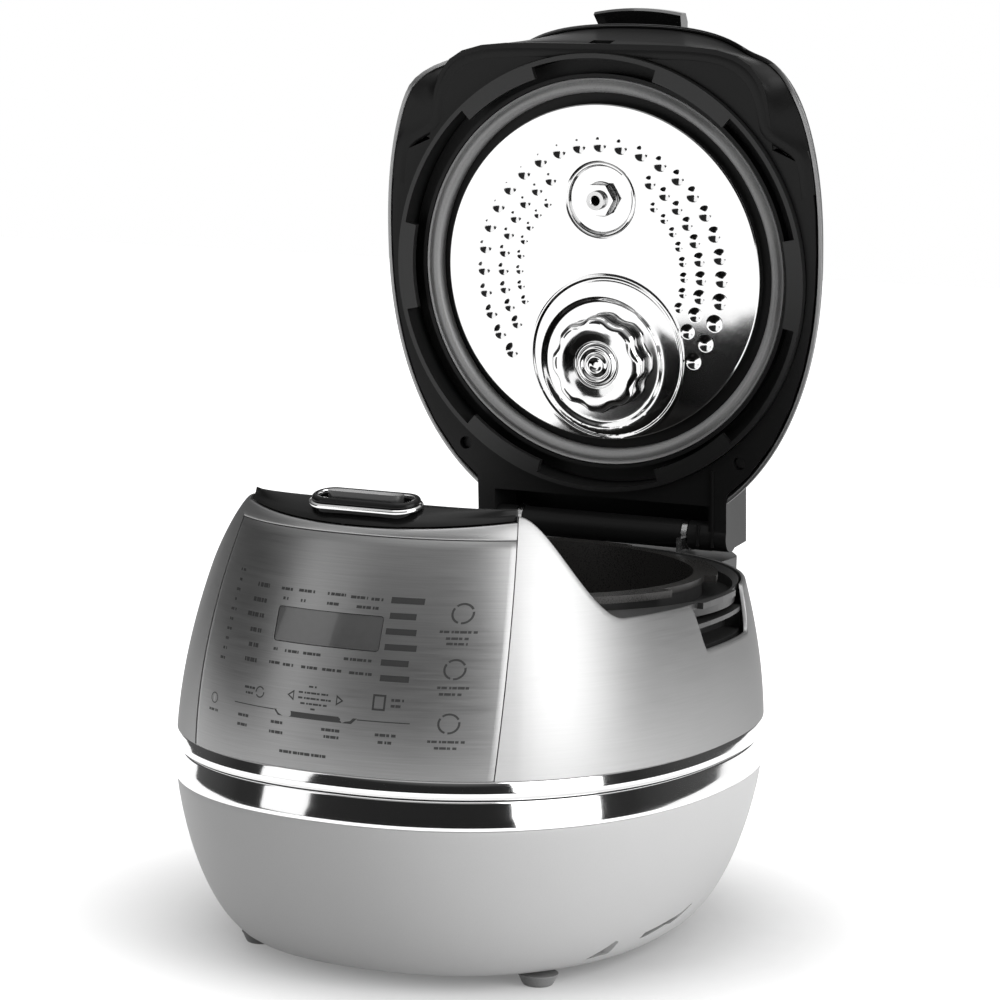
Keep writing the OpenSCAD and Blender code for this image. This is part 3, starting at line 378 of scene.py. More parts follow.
BRUSH = (0.02, 0.02, 1)  # grain drawn out along the brushing
FINISHES = {
    # colour, rough, metal, size, shade, rough_by, bump_by, bump_depth
    "silver_skin": (grey(0.42), 0.43, 0.9, 1500, 0.07, 0.05, 0.10, 0.00004),
    "panel_metal": (grey(0.30), 0.36, 0.88, 1700, 0.12, 0.06, 0.14, 0.00004),
    "chrome": (grey(0.80), 0.07, 1.0, 60, 0.01, 0.015, 0.03, 0.00002),
    "black_plastic": (grey(0.022), 0.42, 0.0, 2600, 0.2, 0.06, 0.25, 0.00006),
    "gloss_black": (grey(0.012), 0.13, 0.0, 90, 0.1, 0.03, 0.03, 0.00002),
    "lid_inner_plastic": (grey(0.012), 0.33, 0.0, 2200, 0.15, 0.05, 0.08, 0.00003),
    "ring_black": (grey(0.012), 0.36, 0.0, 1800, 0.15, 0.04, 0.04, 0.00002),
    "window": (grey(0.10), 0.16, 0.0, 300, 0.06, 0.02, 0.02, 0.00001),
    "display": ((0.20, 0.22, 0.20), 0.2, 0.0, 500, 0.05, 0.02, 0.02, 0.00001),
    "circuit_board": ((0.03, 0.16, 0.06), 0.4, 0.0, 420, 0.25, 0.08, 0.2, 0.00006),
    "button_grey": (grey(0.06), 0.22, 0.2, 800, 0.08, 0.03, 0.05, 0.00002),
    "spring_steel": (grey(0.50), 0.28, 1.0, 900, 0.1, 0.06, 0.08, 0.00003),
    "plated_steel": (grey(0.58), 0.24, 1.0, 700, 0.08, 0.06, 0.06, 0.00003),
    "pot_coating": (grey(0.035, 0.04), 0.30, 0.3, 1500, 0.35, 0.08, 0.15, 0.00005),
    "aluminium": (grey(0.66), 0.30, 1.0, 900, 0.06, 0.06, 0.08, 0.00003),
    "bobbin_plastic": ((0.62, 0.59, 0.50), 0.45, 0.0, 1200, 0.06, 0.05, 0.1, 0.00004),
    "copper": ((0.55, 0.24, 0.10), 0.25, 1.0, 700, 0.15, 0.06, 0.2, 0.00008),
    "ferrite": (grey(0.05), 0.6, 0.0, 2600, 0.3, 0.08, 0.3, 0.00008),
    "capacitor_sleeve": ((0.02, 0.02, 0.09), 0.25, 0.0, 500, 0.1, 0.04, 0.04, 0.00002),
    "rubber": (grey(0.03), 0.65, 0.0, 2200, 0.25, 0.08, 0.3, 0.00008),
    "clear_plastic": (grey(0.20), 0.15, 0.0, 300, 0.05, 0.03, 0.03, 0.00002),
    "silicone": (grey(0.36), 0.30, 0.0, 1200, 0.12, 0.05, 0.08, 0.00004),
    "stainless": (grey(0.74), 0.085, 1.0, 500, 0.02, 0.02, 0.03, 0.00002),
    "brass": ((0.58, 0.44, 0.20), 0.25, 1.0, 900, 0.08, 0.05, 0.06, 0.00003),
    "case_paint": (grey(0.62), 0.45, 0.0, 2400, 0.03, 0.03, 0.05, 0.00002),
    # painted shade: the silver skin made darker for the lid's shell
    "lid_skin_shaded": (grey(0.30), 0.41, 0.9, 1500, 0.07, 0.05, 0.10, 0.00004),
    "print_dark": (grey(0.035), 0.45, 0.0, 1500, 0.1, 0.05, 0.05, 0.00001),
    # painted shade: near black for the lid's plate, which sits in shade between the dish and the gasket
    "plate_painted_shade": (grey(0.010), 0.5, 0.0, 900, 0.2, 0.05, 0.05, 0.00002),
    "deck_black": (grey(0.010), 0.26, 0.0, 90, 0.1, 0.03, 0.03, 0.00002),
    "foot_grey": (grey(0.26), 0.45, 0.0, 1600, 0.1, 0.05, 0.1, 0.00004),
    "shadow_gap": (grey(0.004), 0.7, 0.0, 1500, 0.2, 0.05, 0.1, 0.00002),
}
EXTRAS = {
    "silver_skin": {"scale": BRUSH, "Specular Tint": (0.4, 0.4, 0.4, 1)},
    "panel_metal": {"scale": BRUSH},
    "gloss_black": {"Coat Weight": 0.4},
    "lid_inner_plastic": {"Specular IOR Level": 0.15},
    "ring_black": {"Specular IOR Level": 0.4},
    "window": {"Coat Weight": 0.5},
    "aluminium": {"scale": (1, 1, 0.05)},
    "clear_plastic": {"Transmission Weight": 0.5},
    "case_paint": {"detail": 2.0, "Specular IOR Level": 0.25},
    "lid_skin_shaded": {"scale": BRUSH, "Specular Tint": (0.3, 0.3, 0.3, 1)},
    "plate_painted_shade": {"Specular IOR Level": 0.2},
    "deck_black": {"Specular IOR Level": 0.16},
}
M = {name: finish_of(name, *row, **EXTRAS.get(name, {})) for name, row in FINISHES.items()}

for part in record["subparts"]:
    o = frame["nodes"][part["node"]]
    o.data.materials.clear()
    o.data.materials.append(M[part["material_slot"]])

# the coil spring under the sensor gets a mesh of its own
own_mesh(frame["nodes"]["sensor_spring"])

# --- outer body -------------------------------------------------------------
AROUND = even(240)


def skin_point(u, z, inset, scale=None):
    """A point of the body's skin, or of the waist's outline at a scale where one is given."""
    if scale is None:
        return at(*body(u, z, inset))
    return at(*plan(HALF_W * scale, HALF_D * scale, u, z))


def skin_ring(rows):
    """Columns round the body from rows of (z, inset) or (z, inset, scale)."""
    return [[skin_point(u, *row) for row in rows] for u in AROUND]


CASE_WALL = 30  # rows down the lower case's wall
WALL_TOP = CASE_TOP - 0.7
case_rows = [(CASE_TOP, 3.0), (CASE_TOP, 0.6), (CASE_TOP - 0.2, 0.2), (WALL_TOP, 0.0)]
case_rows += [(WALL_TOP - (WALL_TOP - FOOT - 5) * k / CASE_WALL, 0.0) for k in range(1, CASE_WALL + 1)]
case_rows += [(FOOT + 3, 0.4), (FOOT + 1.6, 0, 0.683), (FOOT + 0.3, 0, 0.66)]
case_rows += [(FOOT + 0.3, 0, 0.63), (FOOT + 3, 0, 0.63)]
case_rows += [(z, 3.2) for z in (20, 32, 46, 62, CASE_TOP - 3)]
lower_case = loft("case_lower", skin_ring(case_rows))

# the gaps low in each side, as points of (share of the half depth, mm above the foot)
FRONT_GAP = [(-0.44, 7), (-0.36, 7.6), (-0.36, 14), (-0.375, 15)]
SIDE_GAP = [(-0.25, 11.6), (-0.22, 11.6), (-0.12, 14.2), (-0.085, 13.4), (-0.04, 15), (0.02, 19.5),
            (0.015, 20.5), (-0.05, 17.4), (-0.24, 14.4)]
inlet_low, inlet_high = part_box("ac_inlet")
grow = Vector((0.0003, 0, 0.0003))
for side in (-1, 1):
    for gap in (FRONT_GAP, SIDE_GAP):
        v = [at(side * x, y * HALF_D, FOOT + z) for x in (0.6 * HALF_W, HALF_W + 1) for y, z in gap]
        cut(lower_case, mesh_object("gap_cut", v, prism_faces(len(gap)), smooth=False))
a, b = (inlet_low - grow) * 1000, (inlet_high + grow) * 1000
inlet_cut = block("inlet_cut", a.x, b.x, a.y + 2, b.y + 40, a.z, b.z, lambda *p: Vector(p) / 1000)
cut(lower_case, inlet_cut)
piece(lower_case, "body", "silver_skin", "lower_case", look="case_paint")

# each ring leans outward toward its lower edge, so it mirrors the dark room rather than the floor
lean_low, lean_high = CASE_TOP + 0.55, WAIST - 1.2
lower_ring = [(WAIST - 0.3, 3.2), (WAIST - 0.3, 2.8), (WAIST - 0.6, 2.5), (WAIST - 1.2, 2.35)]
lower_ring += [(lean_high + (lean_low - lean_high) * k / 8, 2.35 - 2.85 * k / 8) for k in range(1, 9)]
lower_ring += [(CASE_TOP + 0.35, -0.46)] + [(CASE_TOP + 0.3, inset) for inset in (-0.3, 1.0, 3.0)]
piece(loft("band_lower", skin_ring(lower_ring)), "body", "chrome", "chrome_band_lower")
upper_ring = [(BAND_TOP - 0.3, 3.4), (BAND_TOP - 0.3, 1.1), (BAND_TOP - 0.6, 0.78), (BAND_TOP - 1.1, 0.62),
              (BAND_TOP - 3, 0.2), (BAND_TOP - 4.8, -0.2), (BAND_TOP - 5.5, -0.34), (BAND_TOP - 6, -0.32),
              (WAIST + 2.6, -0.1), (WAIST + 1.7, 0.4), (WAIST + 1.0, 1.1), (WAIST + 0.5, 2.0),
              (WAIST + 0.3, 2.8), (WAIST + 0.3, 4.0)]
piece(loft("band_upper", skin_ring(upper_ring)), "body", "chrome", "chrome_band_upper")

# the side skin is one strip from the panel's right edge round the back to its left edge
WRAP_U = [u for u in even(420) if 39 < u < 321]


def wrap_column(f_list, u, signed):
    """A column from (f, inset): f of the way up, or for an f over 1, 2 - f mm under the top edge."""
    top = skin_edge(u)
    rows = []
    for f, inset in f_list:
        z = BAND_TOP + f * (top - BAND_TOP) if f <= 1 else top - (2 - f)
        rows.append(at(*body(signed * max(u, panel_u(z) + 0.2), z, inset)))
    return rows


edge_rows = [(0.0, 0.0)] + [(k / 22, 0.0) for k in range(1, 22)]
edge_rows += [(1.3, 0.0), (1.7, 0.12), (1.92, 0.4), (2.0, 0.8), (2.0, 1.6), (1.9, 1.95)]
edge_rows += [(k / 8, SKIN) for k in range(7, -1, -1)]
half = sorted({0.0, 20.0, 30.0, 37.0, 38.2, 38.6} | {u for u in WRAP_U if u <= 180})
columns = [wrap_column(edge_rows, u, 1) for u in half]
columns += [wrap_column(edge_rows, u, -1) for u in reversed(half) if u < 179.9]
wrap = loft("wrap_side", columns, False, True, caps=True)
piece(wrap, "body", "silver_skin", "side_wrap")

# front panel with a rounded window opening
RIM_LOW = DECK - 10
PANEL_SPAN = RIM_LOW - 0.3 - BAND_TOP
panel_z = [BAND_TOP, BAND_TOP + 0.3] + [BAND_TOP + PANEL_SPAN * k / 26 for k in range(1, 26)]
panel_z += [RIM_LOW - 0.6, RIM_LOW - 0.3]
PANEL_STEPS = 48  # columns from the panel's middle to each side


def panel_column(i):
    """Up the panel's face and back down its inside, with eased edges all round."""
    t = i / PANEL_STEPS
    edge = 0.35 if abs(i) == PANEL_STEPS else 0.0
    face = []
    for j, z in enumerate(panel_z):
        eased = edge + (0.3 if j in (0, len(panel_z) - 1) else 0)
        face.append(at(*body(t * panel_u(z), z, eased)))
    return face + [at(*body(t * panel_u(z), z, SKIN)) for z in reversed(panel_z)]


columns = [panel_column(i) for i in range(-PANEL_STEPS, PANEL_STEPS + 1)]
panel = loft("front_panel", columns, False, True, caps=True)
WX, WZ = (-30.4, 24.0), (162.5, 178.0)  # the window's opening
cut(panel, rounded(block("window_cut", WX[0], WX[1], -200, -130, WZ[0], WZ[1]), 1.5, 3))
piece(panel, "body", "panel_metal", "control_panel")


def on_panel(x, z, out=0.0):
    return at(x, body_front(x, z) - out, z)


def panel_sheet(name, loop_rows, out, thick):
    """A thin sheet that follows the panel, from rows of (z, x from, x to)."""
    verts, faces, n = [], [], 9
    for layer in (out, out - thick):
        for z, x0, x1 in loop_rows:
            verts += [on_panel(x0 + (x1 - x0) * k / (n - 1), z, layer) for k in range(n)]
    m = len(loop_rows)
    for l in range(2):
        for r in range(m - 1):
            for k in range(n - 1):
                a = l * m * n + r * n + k
                faces.append((a, a + 1, a + n + 1, a + n))
    edge = list(range(n)) + [r * n + n - 1 for r in range(1, m)]
    edge += [(m - 1) * n + k for k in range(n - 2, -1, -1)] + [r * n for r in range(m - 2, 0, -1)]
    for p, q in zip(edge, edge[1:] + edge[:1]):
        faces.append((p, q, q + m * n, p + m * n))
    return mesh_object(name, verts, faces)


def rounded_rows(x0, x1, z0, z1, r):
    """Rows of (z, x from, x to) up a rectangle with corners of radius r."""
    rows = []
    for k in range(7):
        a = math.pi / 2 * k / 6
        rows.append((z0 + r - r * math.cos(a), x0 + r - r * math.sin(a), x1 - r + r * math.sin(a)))
    for k in range(1, 8):
        rows.append((z0 + r + (z1 - z0 - 2 * r) * k / 8, x0, x1))
    for k in range(7):
        a = math.pi / 2 * k / 6
        rows.append((z1 - r + r * math.sin(a), x0 + r - r * math.cos(a), x1 - r + r * math.cos(a)))
    return rows


glass_rows = rounded_rows(WX[0] + 0.3, WX[1] - 0.3, WZ[0] + 0.3, WZ[1] - 0.3, 1.2)
glass = panel_sheet("window_glass", glass_rows, -0.3, 1.6)
piece(glass, "body", "window", "display_window")

# silver rim under the deck
DECK_HALF = 67.6


def deck_edge(x):
    """The height of the deck's front edge, which rises toward its ends."""
    return DECK - 4 + 4.2 * (abs(x) / DECK_HALF) ** 2


RIM_STEPS = 60


def rim_column(i):
    """The rim's rounded face and its flat back."""

    def rim(z, inset):
        return at(*body(i / RIM_STEPS * (panel_u(z) - 0.1), z, inset))

    x = body(i / RIM_STEPS * (panel_u(DECK) - 0.1), DECK, 0)[0]
    e = deck_edge(min(abs(x), DECK_HALF)) - 2.9
    mid = (RIM_LOW + e) / 2
    half_h = (e - RIM_LOW) / 2
    turns = [math.pi * k / 10 for k in range(11)]
    face = [rim(mid - half_h * math.cos(a), -0.6 * math.sin(a)) for a in turns]
    return [rim(RIM_LOW, 0.5)] + face + [rim(e, 0.6), rim(e, 3), rim(mid, 3), rim(RIM_LOW, 3)]


columns = [rim_column(i) for i in range(-RIM_STEPS, RIM_STEPS + 1)]
deck_rim = loft("rim_front", columns, False, True, caps=True, angle=50)
piece(deck_rim, "body", "silver_skin", "deck_rim")

# --- front deck -------------------------------------------------------------
DECK_BACK, DECK_FOOT, DECK_BACK_Z = -116.3, -106.5, DECK + 3


def deck_rear(x):
    """Where the deck's top turns down at the back."""
    return max(DECK_BACK + 9 * (abs(x) / DECK_HALF) ** 4, body_front(x, DECK) + 3.5)


def deck_loop(x, drop):
    """The deck's section at x, from its front edge over its crown to its foot, lowered by drop."""
    e = deck_edge(x)
    f, r = body_front(x, e), deck_rear(x)
    t = drop * min(1, 0.3 * (r - f) / SKIN)
    front = (body_front(x, e - 2) + t, e - 2)
    p = (f + 1.5 + t * 0.4, e + 0.6 - t)
    crown_z = (e + DECK_BACK_Z) / 2 + 1.4 - t
    w = (r - t, DECK_BACK_Z - t)
    out = [(x, *front), (x, (front[0] * 0.3 + p[0] * 0.7) - 0.25, (front[1] * 0.3 + p[1] * 0.7))]
    rise = crown_z - (p[1] + w[1]) / 2
    for k in range(13):
        share = k / 12
        line = (p[0] + (w[0] - p[0]) * share, p[1] + (w[1] - p[1]) * share)
        out.append((x, line[0], line[1] + rise * (4 * share * (1 - share))))
    out.append((x, w[0] + 0.4, w[1] - 0.5))
    out.append((x, (r + DECK_FOOT) / 2 - t, (DECK_BACK_Z + RIM) / 2))
    out.append((x, DECK_FOOT - t, RIM + 0.6))
    return out


def deck_column(x):
    return [at(*p) for p in deck_loop(x, 0) + deck_loop(x, SKIN)[::-1]]


columns = [deck_column(DECK_HALF * i / 56) for i in range(-56, 57)]
deck = loft("deck_top", columns, False, True, caps=True, angle=40)
BUTTON_Y, BUTTON_R, BUTTON_HALF = -124.5, 6.2, 24.0


def oval(r, half, n=24):
    """Points round a slot-shaped outline."""
    pts = []
    for s in (1, -1):
        for k in range(n + 1):
            a = math.pi * k / n - math.pi / 2
            pts.append((s * (half - r + r * math.cos(a)), s * r * math.sin(a)))
    return pts


def at_button(x, y, z):
    return at(x, y + BUTTON_Y, z)


cut(deck, prism("slot_cut", oval(BUTTON_R + 0.6, BUTTON_HALF - 3.2), DECK - 20, DECK + 20, at_button))
cut(deck, block("hook_cut", -9, 9, DECK_BACK, DECK_BACK + 20, RIM - 2, RIM + 16))
piece(deck, "body", "gloss_black", "top_deck", look="deck_black")


def oval_sweep(name, profile, place):
    """A closed profile of (offset outwards, z) swept round the button's slot-shaped outline."""
    n = len(oval(BUTTON_R, BUTTON_HALF))
    rings = [[(x, y, z) for x, y in oval(BUTTON_R + d, BUTTON_HALF + d)] for d, z in profile]
    columns = [[place(*ring[i]) for ring in rings] for i in range(n)]
    return loft(name, columns, True, True, angle=45)


top = DECK + 6.3
bezel = lifted(top, (2.9, -2.2), (3.0, -1.5), (2.7, -0.8), (2.2, -0.3), (1.5, 0), (0.9, -0.1), (0.4, -0.5),
               (0.1, -1.2), (-0.9, -1.5), (-1.0, -2.6), (-1.0, -10), (0.3, -10.5), (0.4, -2.4))
BUTTON_LEAN = 0.2


def on_bezel(x, y, z):
    """The surround leans forward, so its back edge stands higher than its front."""
    return at(x, y + BUTTON_Y, z + BUTTON_LEAN * y)


piece(oval_sweep("button_ring", bezel, on_bezel), "body", "chrome", "button_bezel", look="deck_black")
line = lifted(top, (0.5, -0.42), (0.35, -0.3), (0.1, -0.35), (-0.1, -0.75), (-0.1, -1.6), (0.2, -1.6))
piece(oval_sweep("button_line", line, on_bezel), "body", "chrome")
trim = lifted(top, (2.8, -4.6), (3.8, -4.6), (4.2, -4.1), (4.2, -3.4), (3.8, -2.8), (2.8, -2.6))
piece(oval_sweep("button_trim", trim, on_bezel), "body", "chrome")

# --- feet -------------------------------------------------------------------
FOOT_X = 0.556 * HALF_W
FOOT_FRONT, FOOT_REAR = -0.491 * HALF_D, 0.5 * HALF_D
foot_rows = [(0.02, 0.9), (4.6, 0.9), (5.4, 0.0), (6.3, 0.0), (7.0, 0.35), (7.6, 1.3), (8.4, 3.0),
             (9.0, 4.4), (9.5, 5.0), (9.5, FOOT), (0.02, FOOT)]
for k, (fx, fy) in enumerate((x, y) for y in (FOOT_FRONT, FOOT_REAR) for x in (-FOOT_X, FOOT_X)):
    foot = spin("foot_%d" % k, foot_rows, lambda x, y, z: at(x + fx, y + fy, z), 64, True, angle=50)
    piece(foot, "body", "rubber", *(["feet"] if k == 0 else []), look="foot_grey")

# --- lid --------------------------------------------------------------------
LID_LOW, LID_TAPER = PLATE + 0.5, 21.5
LID_FRONT, LID_FRONT_TOP = 103.5, 115.0  # how far forward its flat front stands, low and high
WALL_HALF, WALL_REACH = 98, 300
LID_CORNER, WALL_CORNER = 9, 7  # powers that round the corners beside the flat front


def lid_point(phi, z, inset=0.0):
    """A point of the closed lid's outside, at angle phi in degrees from the front."""
    zz = min(z, LID_EDGE)
    crown = 1.0 if z <= LID_EDGE else max(0.0, 1 - ((z - LID_EDGE) / CROWN) ** 1.6) ** (1 / 1.9)
    wide = LID_A - LID_TAPER * ((zz - PLATE) / (DECK - PLATE)) ** 1.35
    a, b = wide * crown - inset, wide * LID_B / LID_A * crown - inset
    front = LID_FRONT + (LID_FRONT_TOP - LID_FRONT) * (zz - PLATE) / (LID_EDGE - PLATE)
    f = front * crown - inset
    p = math.radians(phi)
    whole = ((abs(math.sin(p)) / a) ** PLAN_N + (abs(math.cos(p)) / b) ** PLAN_N) ** (1 / PLAN_N)
    flat = max(0.0, math.cos(p)) / f
    r = 1 / (whole ** LID_CORNER + flat ** LID_CORNER) ** (1 / LID_CORNER)
    return (r * math.sin(p), -r * math.cos(p), z)


def lid_low(phi):
    """The height of the shell's lower edge, which follows the S of the body's skin."""
    q = lid_point(phi, PLATE)
    wide, deep = (abs(q[0]) / LID_A) ** (PLAN_N / 2), (-q[1] / LID_B) ** (PLAN_N / 2) if q[1] <= 0 else 0.0
    u = 90 if q[1] > 0 else math.degrees(math.atan2(wide, deep))
    return LID_LOW + (DECK - RIM - 0.2) * (1 - ease((u - EDGE_U) / EDGE_SPAN))


def wall_point(phi, z, inset=0.0):
    """A point of the inner frame's upright front wall."""
    p = math.radians(phi)
    across, along = abs(math.sin(p)) / (WALL_HALF - inset), abs(math.cos(p)) / WALL_REACH
    whole = (across ** PLAN_N + along ** PLAN_N) ** (1 / PLAN_N)
    flat = max(0.0, math.cos(p)) / (LID_FRONT - inset)
    r = 1 / (whole ** WALL_CORNER + flat ** WALL_CORNER) ** (1 / WALL_CORNER)
    return (r * math.sin(p), -r * math.cos(p), z)


PHIS = [k * 2.0 for k in range(180)]
SHELL_TOP = 0.6  # share of the crown's height where the shell gives way to the cover
SHELL_Z = LID_EDGE + CROWN * SHELL_TOP
SHELL_WALL = 2.4


def shell_column(phi):
    """Up the shell's outside and down its inside."""
    base = lid_low(phi)
    rows = [(base + 0.2, 2.0), (base, 1.2), (base + 0.15, 0.35), (base + 0.7, 0.0)]
    rows += [(base + 0.7 + (LID_EDGE - base - 0.7) * k / 14, 0.0) for k in range(1, 15)]
    rows += [(LID_EDGE + CROWN * SHELL_TOP * k / 10, 0.0) for k in range(1, 10)]
    rows += [(SHELL_Z, 0.35), (SHELL_Z, SHELL_WALL), (LID_EDGE + CROWN * 0.3, SHELL_WALL)]
    rows += [(LID_EDGE, SHELL_WALL)]
    rows += [(base + (LID_EDGE - base) * k / 6, SHELL_WALL) for k in range(5, 0, -1)]
    rows += [(base + 1, SHELL_WALL)]
    return [on_lid(*lid_point(phi, z, inset)) for z, inset in rows]


shell = loft("lid_shell_skin", [shell_column(phi) for phi in PHIS])
cut(shell, block("neck_cut", -NECK - 0.3, NECK + 0.3, 118.6, 180, PLATE - 5, PLATE + 29.4, on_lid))
# the lid's shell takes a darker copy of the silver skin, as painted shade
piece(shell, "lid", "silver_skin", "lid_shell", look="lid_skin_shaded")
shell.data.materials.append(M["gloss_black"])
PAINT_LOW, PAINT_HIGH = -97.5, -84  # where the black front ends, at the lid's face and at its crown


def paint_front(o):
    """The shell's front is black, up to a plane that leans back from the lid's face to its crown."""
    start = on_lid(0, PAINT_LOW, PLATE)
    across = on_lid(1, PAINT_LOW, PLATE) - start
    upward = on_lid(0, PAINT_HIGH, LID_EDGE + CROWN) - start
    away = upward.cross(across).normalized()
    if away.dot(on_lid(0, PAINT_LOW - 1, PLATE) - start) < 0:
        away = -away
    mesh = bmesh.new()
    mesh.from_mesh(o.data)
    whole = mesh.verts[:] + mesh.edges[:] + mesh.faces[:]
    bmesh.ops.bisect_plane(mesh, geom=whole, plane_co=start, plane_no=away, dist=1e-7)
    mesh.to_mesh(o.data)
    mesh.free()
    for poly in o.data.polygons:
        if (poly.center - start).dot(away) > 0:
            poly.material_index = 1


paint_front(shell)

COVER_RINGS = (0.64, 0.68, 0.72, 0.76, 0.80, 0.84, 0.88, 0.91, 0.94, 0.965, 0.985)
COVER_WALL = 2.2


def cover_column(phi):
    """Up the cover's edge, in over its crown, and back out underneath."""
    rows = [(SHELL_Z + 0.3, 3.6), (SHELL_Z + 0.3, 0.3)]
    rows += [(LID_EDGE + CROWN * f, 0.0) for f in COVER_RINGS]
    column = [on_lid(*lid_point(phi, z, inset)) for z, inset in rows]
    x, y, z = lid_point(phi, LID_EDGE + CROWN * COVER_RINGS[-1])
    steps = [1 - k / 8 * 0.92 for k in range(1, 9)]
    for near in steps:
        rise = (LID_TOP - z - 0.1) * (1 - near * near)
        column.append(on_lid(x * near, POT_Y * (1 - near) + y * near, z + rise))
    for near in reversed(steps):
        rise = (LID_TOP - z - 0.1) * (1 - near * near)
        in_y = POT_Y * (1 - near * 0.97) + y * near * 0.97
        column.append(on_lid(x * near * 0.97, in_y, z + rise - COVER_WALL))
    return column


cover = loft("lid_cover", [cover_column(phi) for phi in PHIS], angle=50)
cap_low, cap_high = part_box("steam_cap")
cut(cover, disc("cap_cut", 0, POT_Y + 48, 20.5, LID_EDGE, LID_EDGE + 40, on_lid))
cut(cover, disc("lever_cut", 0, POT_Y, 11, LID_EDGE, LID_EDGE + 40, on_lid))
piece(cover, "lid", "gloss_black", "lid_top_panel")

# --- front of the lid's inner frame --------------------------------------------
FRAME_T = 0.8


def frame_edge(phi):
    """The frame's outer edge: straight across the front, then out to the shell behind the body's S."""
    wall, outside = wall_point(phi, PLATE + 0.3, 0.1), lid_point(phi, PLATE + 0.3, 2.7)
    return Vector(wall).lerp(Vector(outside), ease((abs(phi) - 54) / 14))


def front_column(phi):
    """The frame's flat face, its rounded edge and its lip, then the same again FRAME_T behind."""
    edge = frame_edge(phi)
    inward = Vector((0, POT_Y, edge.z)) - edge
    inward.normalize()
    lip = Vector(lid_point(phi, max(PLATE + 1.0, lid_low(phi) + 0.5), 2.6))
    flat = edge + inward * 3.2
    flat.z = PLATE - 0.15
    rise = edge.lerp(lip, 0.22)
    rows = [flat + inward * 4.5 + Vector((0, 0, 0.25)), flat + inward * 4.0]
    rows += [flat.lerp(edge, t).lerp(edge.lerp(rise, t), t) for t in (k / 8 for k in range(9))]
    rows += [edge.lerp(lip, 0.22 + 0.78 * f) for f in (0.2, 0.4, 0.6, 0.8, 1.0)]
    back = [r + inward * FRAME_T + Vector((0, 0, FRAME_T)) for r in reversed(rows)]
    return [on_lid(*r) for r in rows + back]


columns = [front_column(phi) for phi in range(-76, 77, 2)]
front = loft("frame_front", columns, False, True, caps=True, angle=60)
striker_y = (-LID_FRONT - 14, -LID_FRONT + 4)
cut(front, block("striker_cut", -6.2, 6.2, *striker_y, PLATE + 3.2, PLATE + 11.2, on_lid))
piece(front, "lid", "lid_inner_plastic")

# --- gasket with its two sealing lips -----------------------------------------
GASKET = FLANGE_TOP + 0.3
gasket_rows = lifted(GASKET, (94.5, 7.3), (94.5, 3.4), (94.8, 2.3), (95.4, 1.4), (96.3, 0.7), (97.4, 0.3),
                     (98.4, 0.35), (99.3, 0.9), (99.9, 1.8), (100.4, 2.2), (100.9, 1.8), (101.3, 1.0),
                     (101.8, 0.8), (102.2, 1.3), (102.2, 7.3))
gasket = spin("gasket_lips", gasket_rows, on_pot_lid, 200, True, angle=50)
piece(gasket, "lid", "silicone", "lid_gasket")
# the lid's plate is coloured near black as painted shade
frame["nodes"]["lid_plate"].data.materials[0] = M["plate_painted_shade"]
# the frame's screws take the dark rubber finish as painted shade
frame["nodes"]["frame_screws"].data.materials[0] = M["rubber"]

# --- inner dish with its pressed dimples ------------------------------------
DIMPLES = []  # (x, y, radius)
for share, size, first, last in ((0.765, 8, 0, 13), (0.636, 7, 3, 12), (0.529, 5, 4, 11)):
    for k in range(first, last + 1):
        for side in (-1, 1):
            if k > 0 or side > 0:
                a = math.radians(-90 + side * k * 10)
                x, y = share * DISH_R * math.cos(a), share * DISH_R * math.sin(a)
                DIMPLES.append((x, y, size / 2 * 1.08))
EMBOSS = (3.0, 44.6, 43.2)  # x, y and radius of the pressed line
VENT_HOLE, KNOB_HOLE = 18, 6
DISH_FACE_R = DISH_R - 0.8


def dish_height(x, y):
    """How far the dish's visible face is pressed in at a point, in mm."""
    h = 0.0
    for cx, cy, r in DIMPLES:
        d = math.hypot(x - cx, y - cy) / r
        if d < 1:
            h = max(h, 0.8 * (1 - d * d) ** 1.4 * (r / 4))
    d = math.hypot(x, y + VENT_OFF)
    if d < 21:
        h = max(h, 0.9 * ease((20.4 - d) / 1.6))
    d = math.hypot(x, y - KNOB_OFF)
    if d < 36:
        h = max(h, 1.1 * ease((35.4 - d) / 3.4))
    d = math.hypot(x - EMBOSS[0], y - EMBOSS[1]) - EMBOSS[2]
    return h - 0.45 * math.exp(-(d / 0.75) ** 2) + 0.25 * math.exp(-((d + 1.6) / 0.6) ** 2)


points, edges = [], []


def clear_of_edges(x, y):
    from_vent, from_knob = math.hypot(x, y + VENT_OFF), math.hypot(x, y - KNOB_OFF)
    return math.hypot(x, y) <= DISH_R - 1.2 and from_vent >= VENT_HOLE + 0.2 and from_knob >= KNOB_HOLE + 0.2


def add_ring(cx, cy, r, n, is_edge=False):
    """Adds a circle of mesh points: an edge of the face, or the points that stay clear of its edges."""
    start = len(points)
    turns = [math.tau * k / n for k in range(n)]
    ring = [(cx + r * math.cos(a), cy + r * math.sin(a)) for a in turns]
    points.extend(Vector(p) for p in ring if is_edge or clear_of_edges(*p))
    if is_edge:
        edges.extend((start + k, start + (k + 1) % n) for k in range(n))


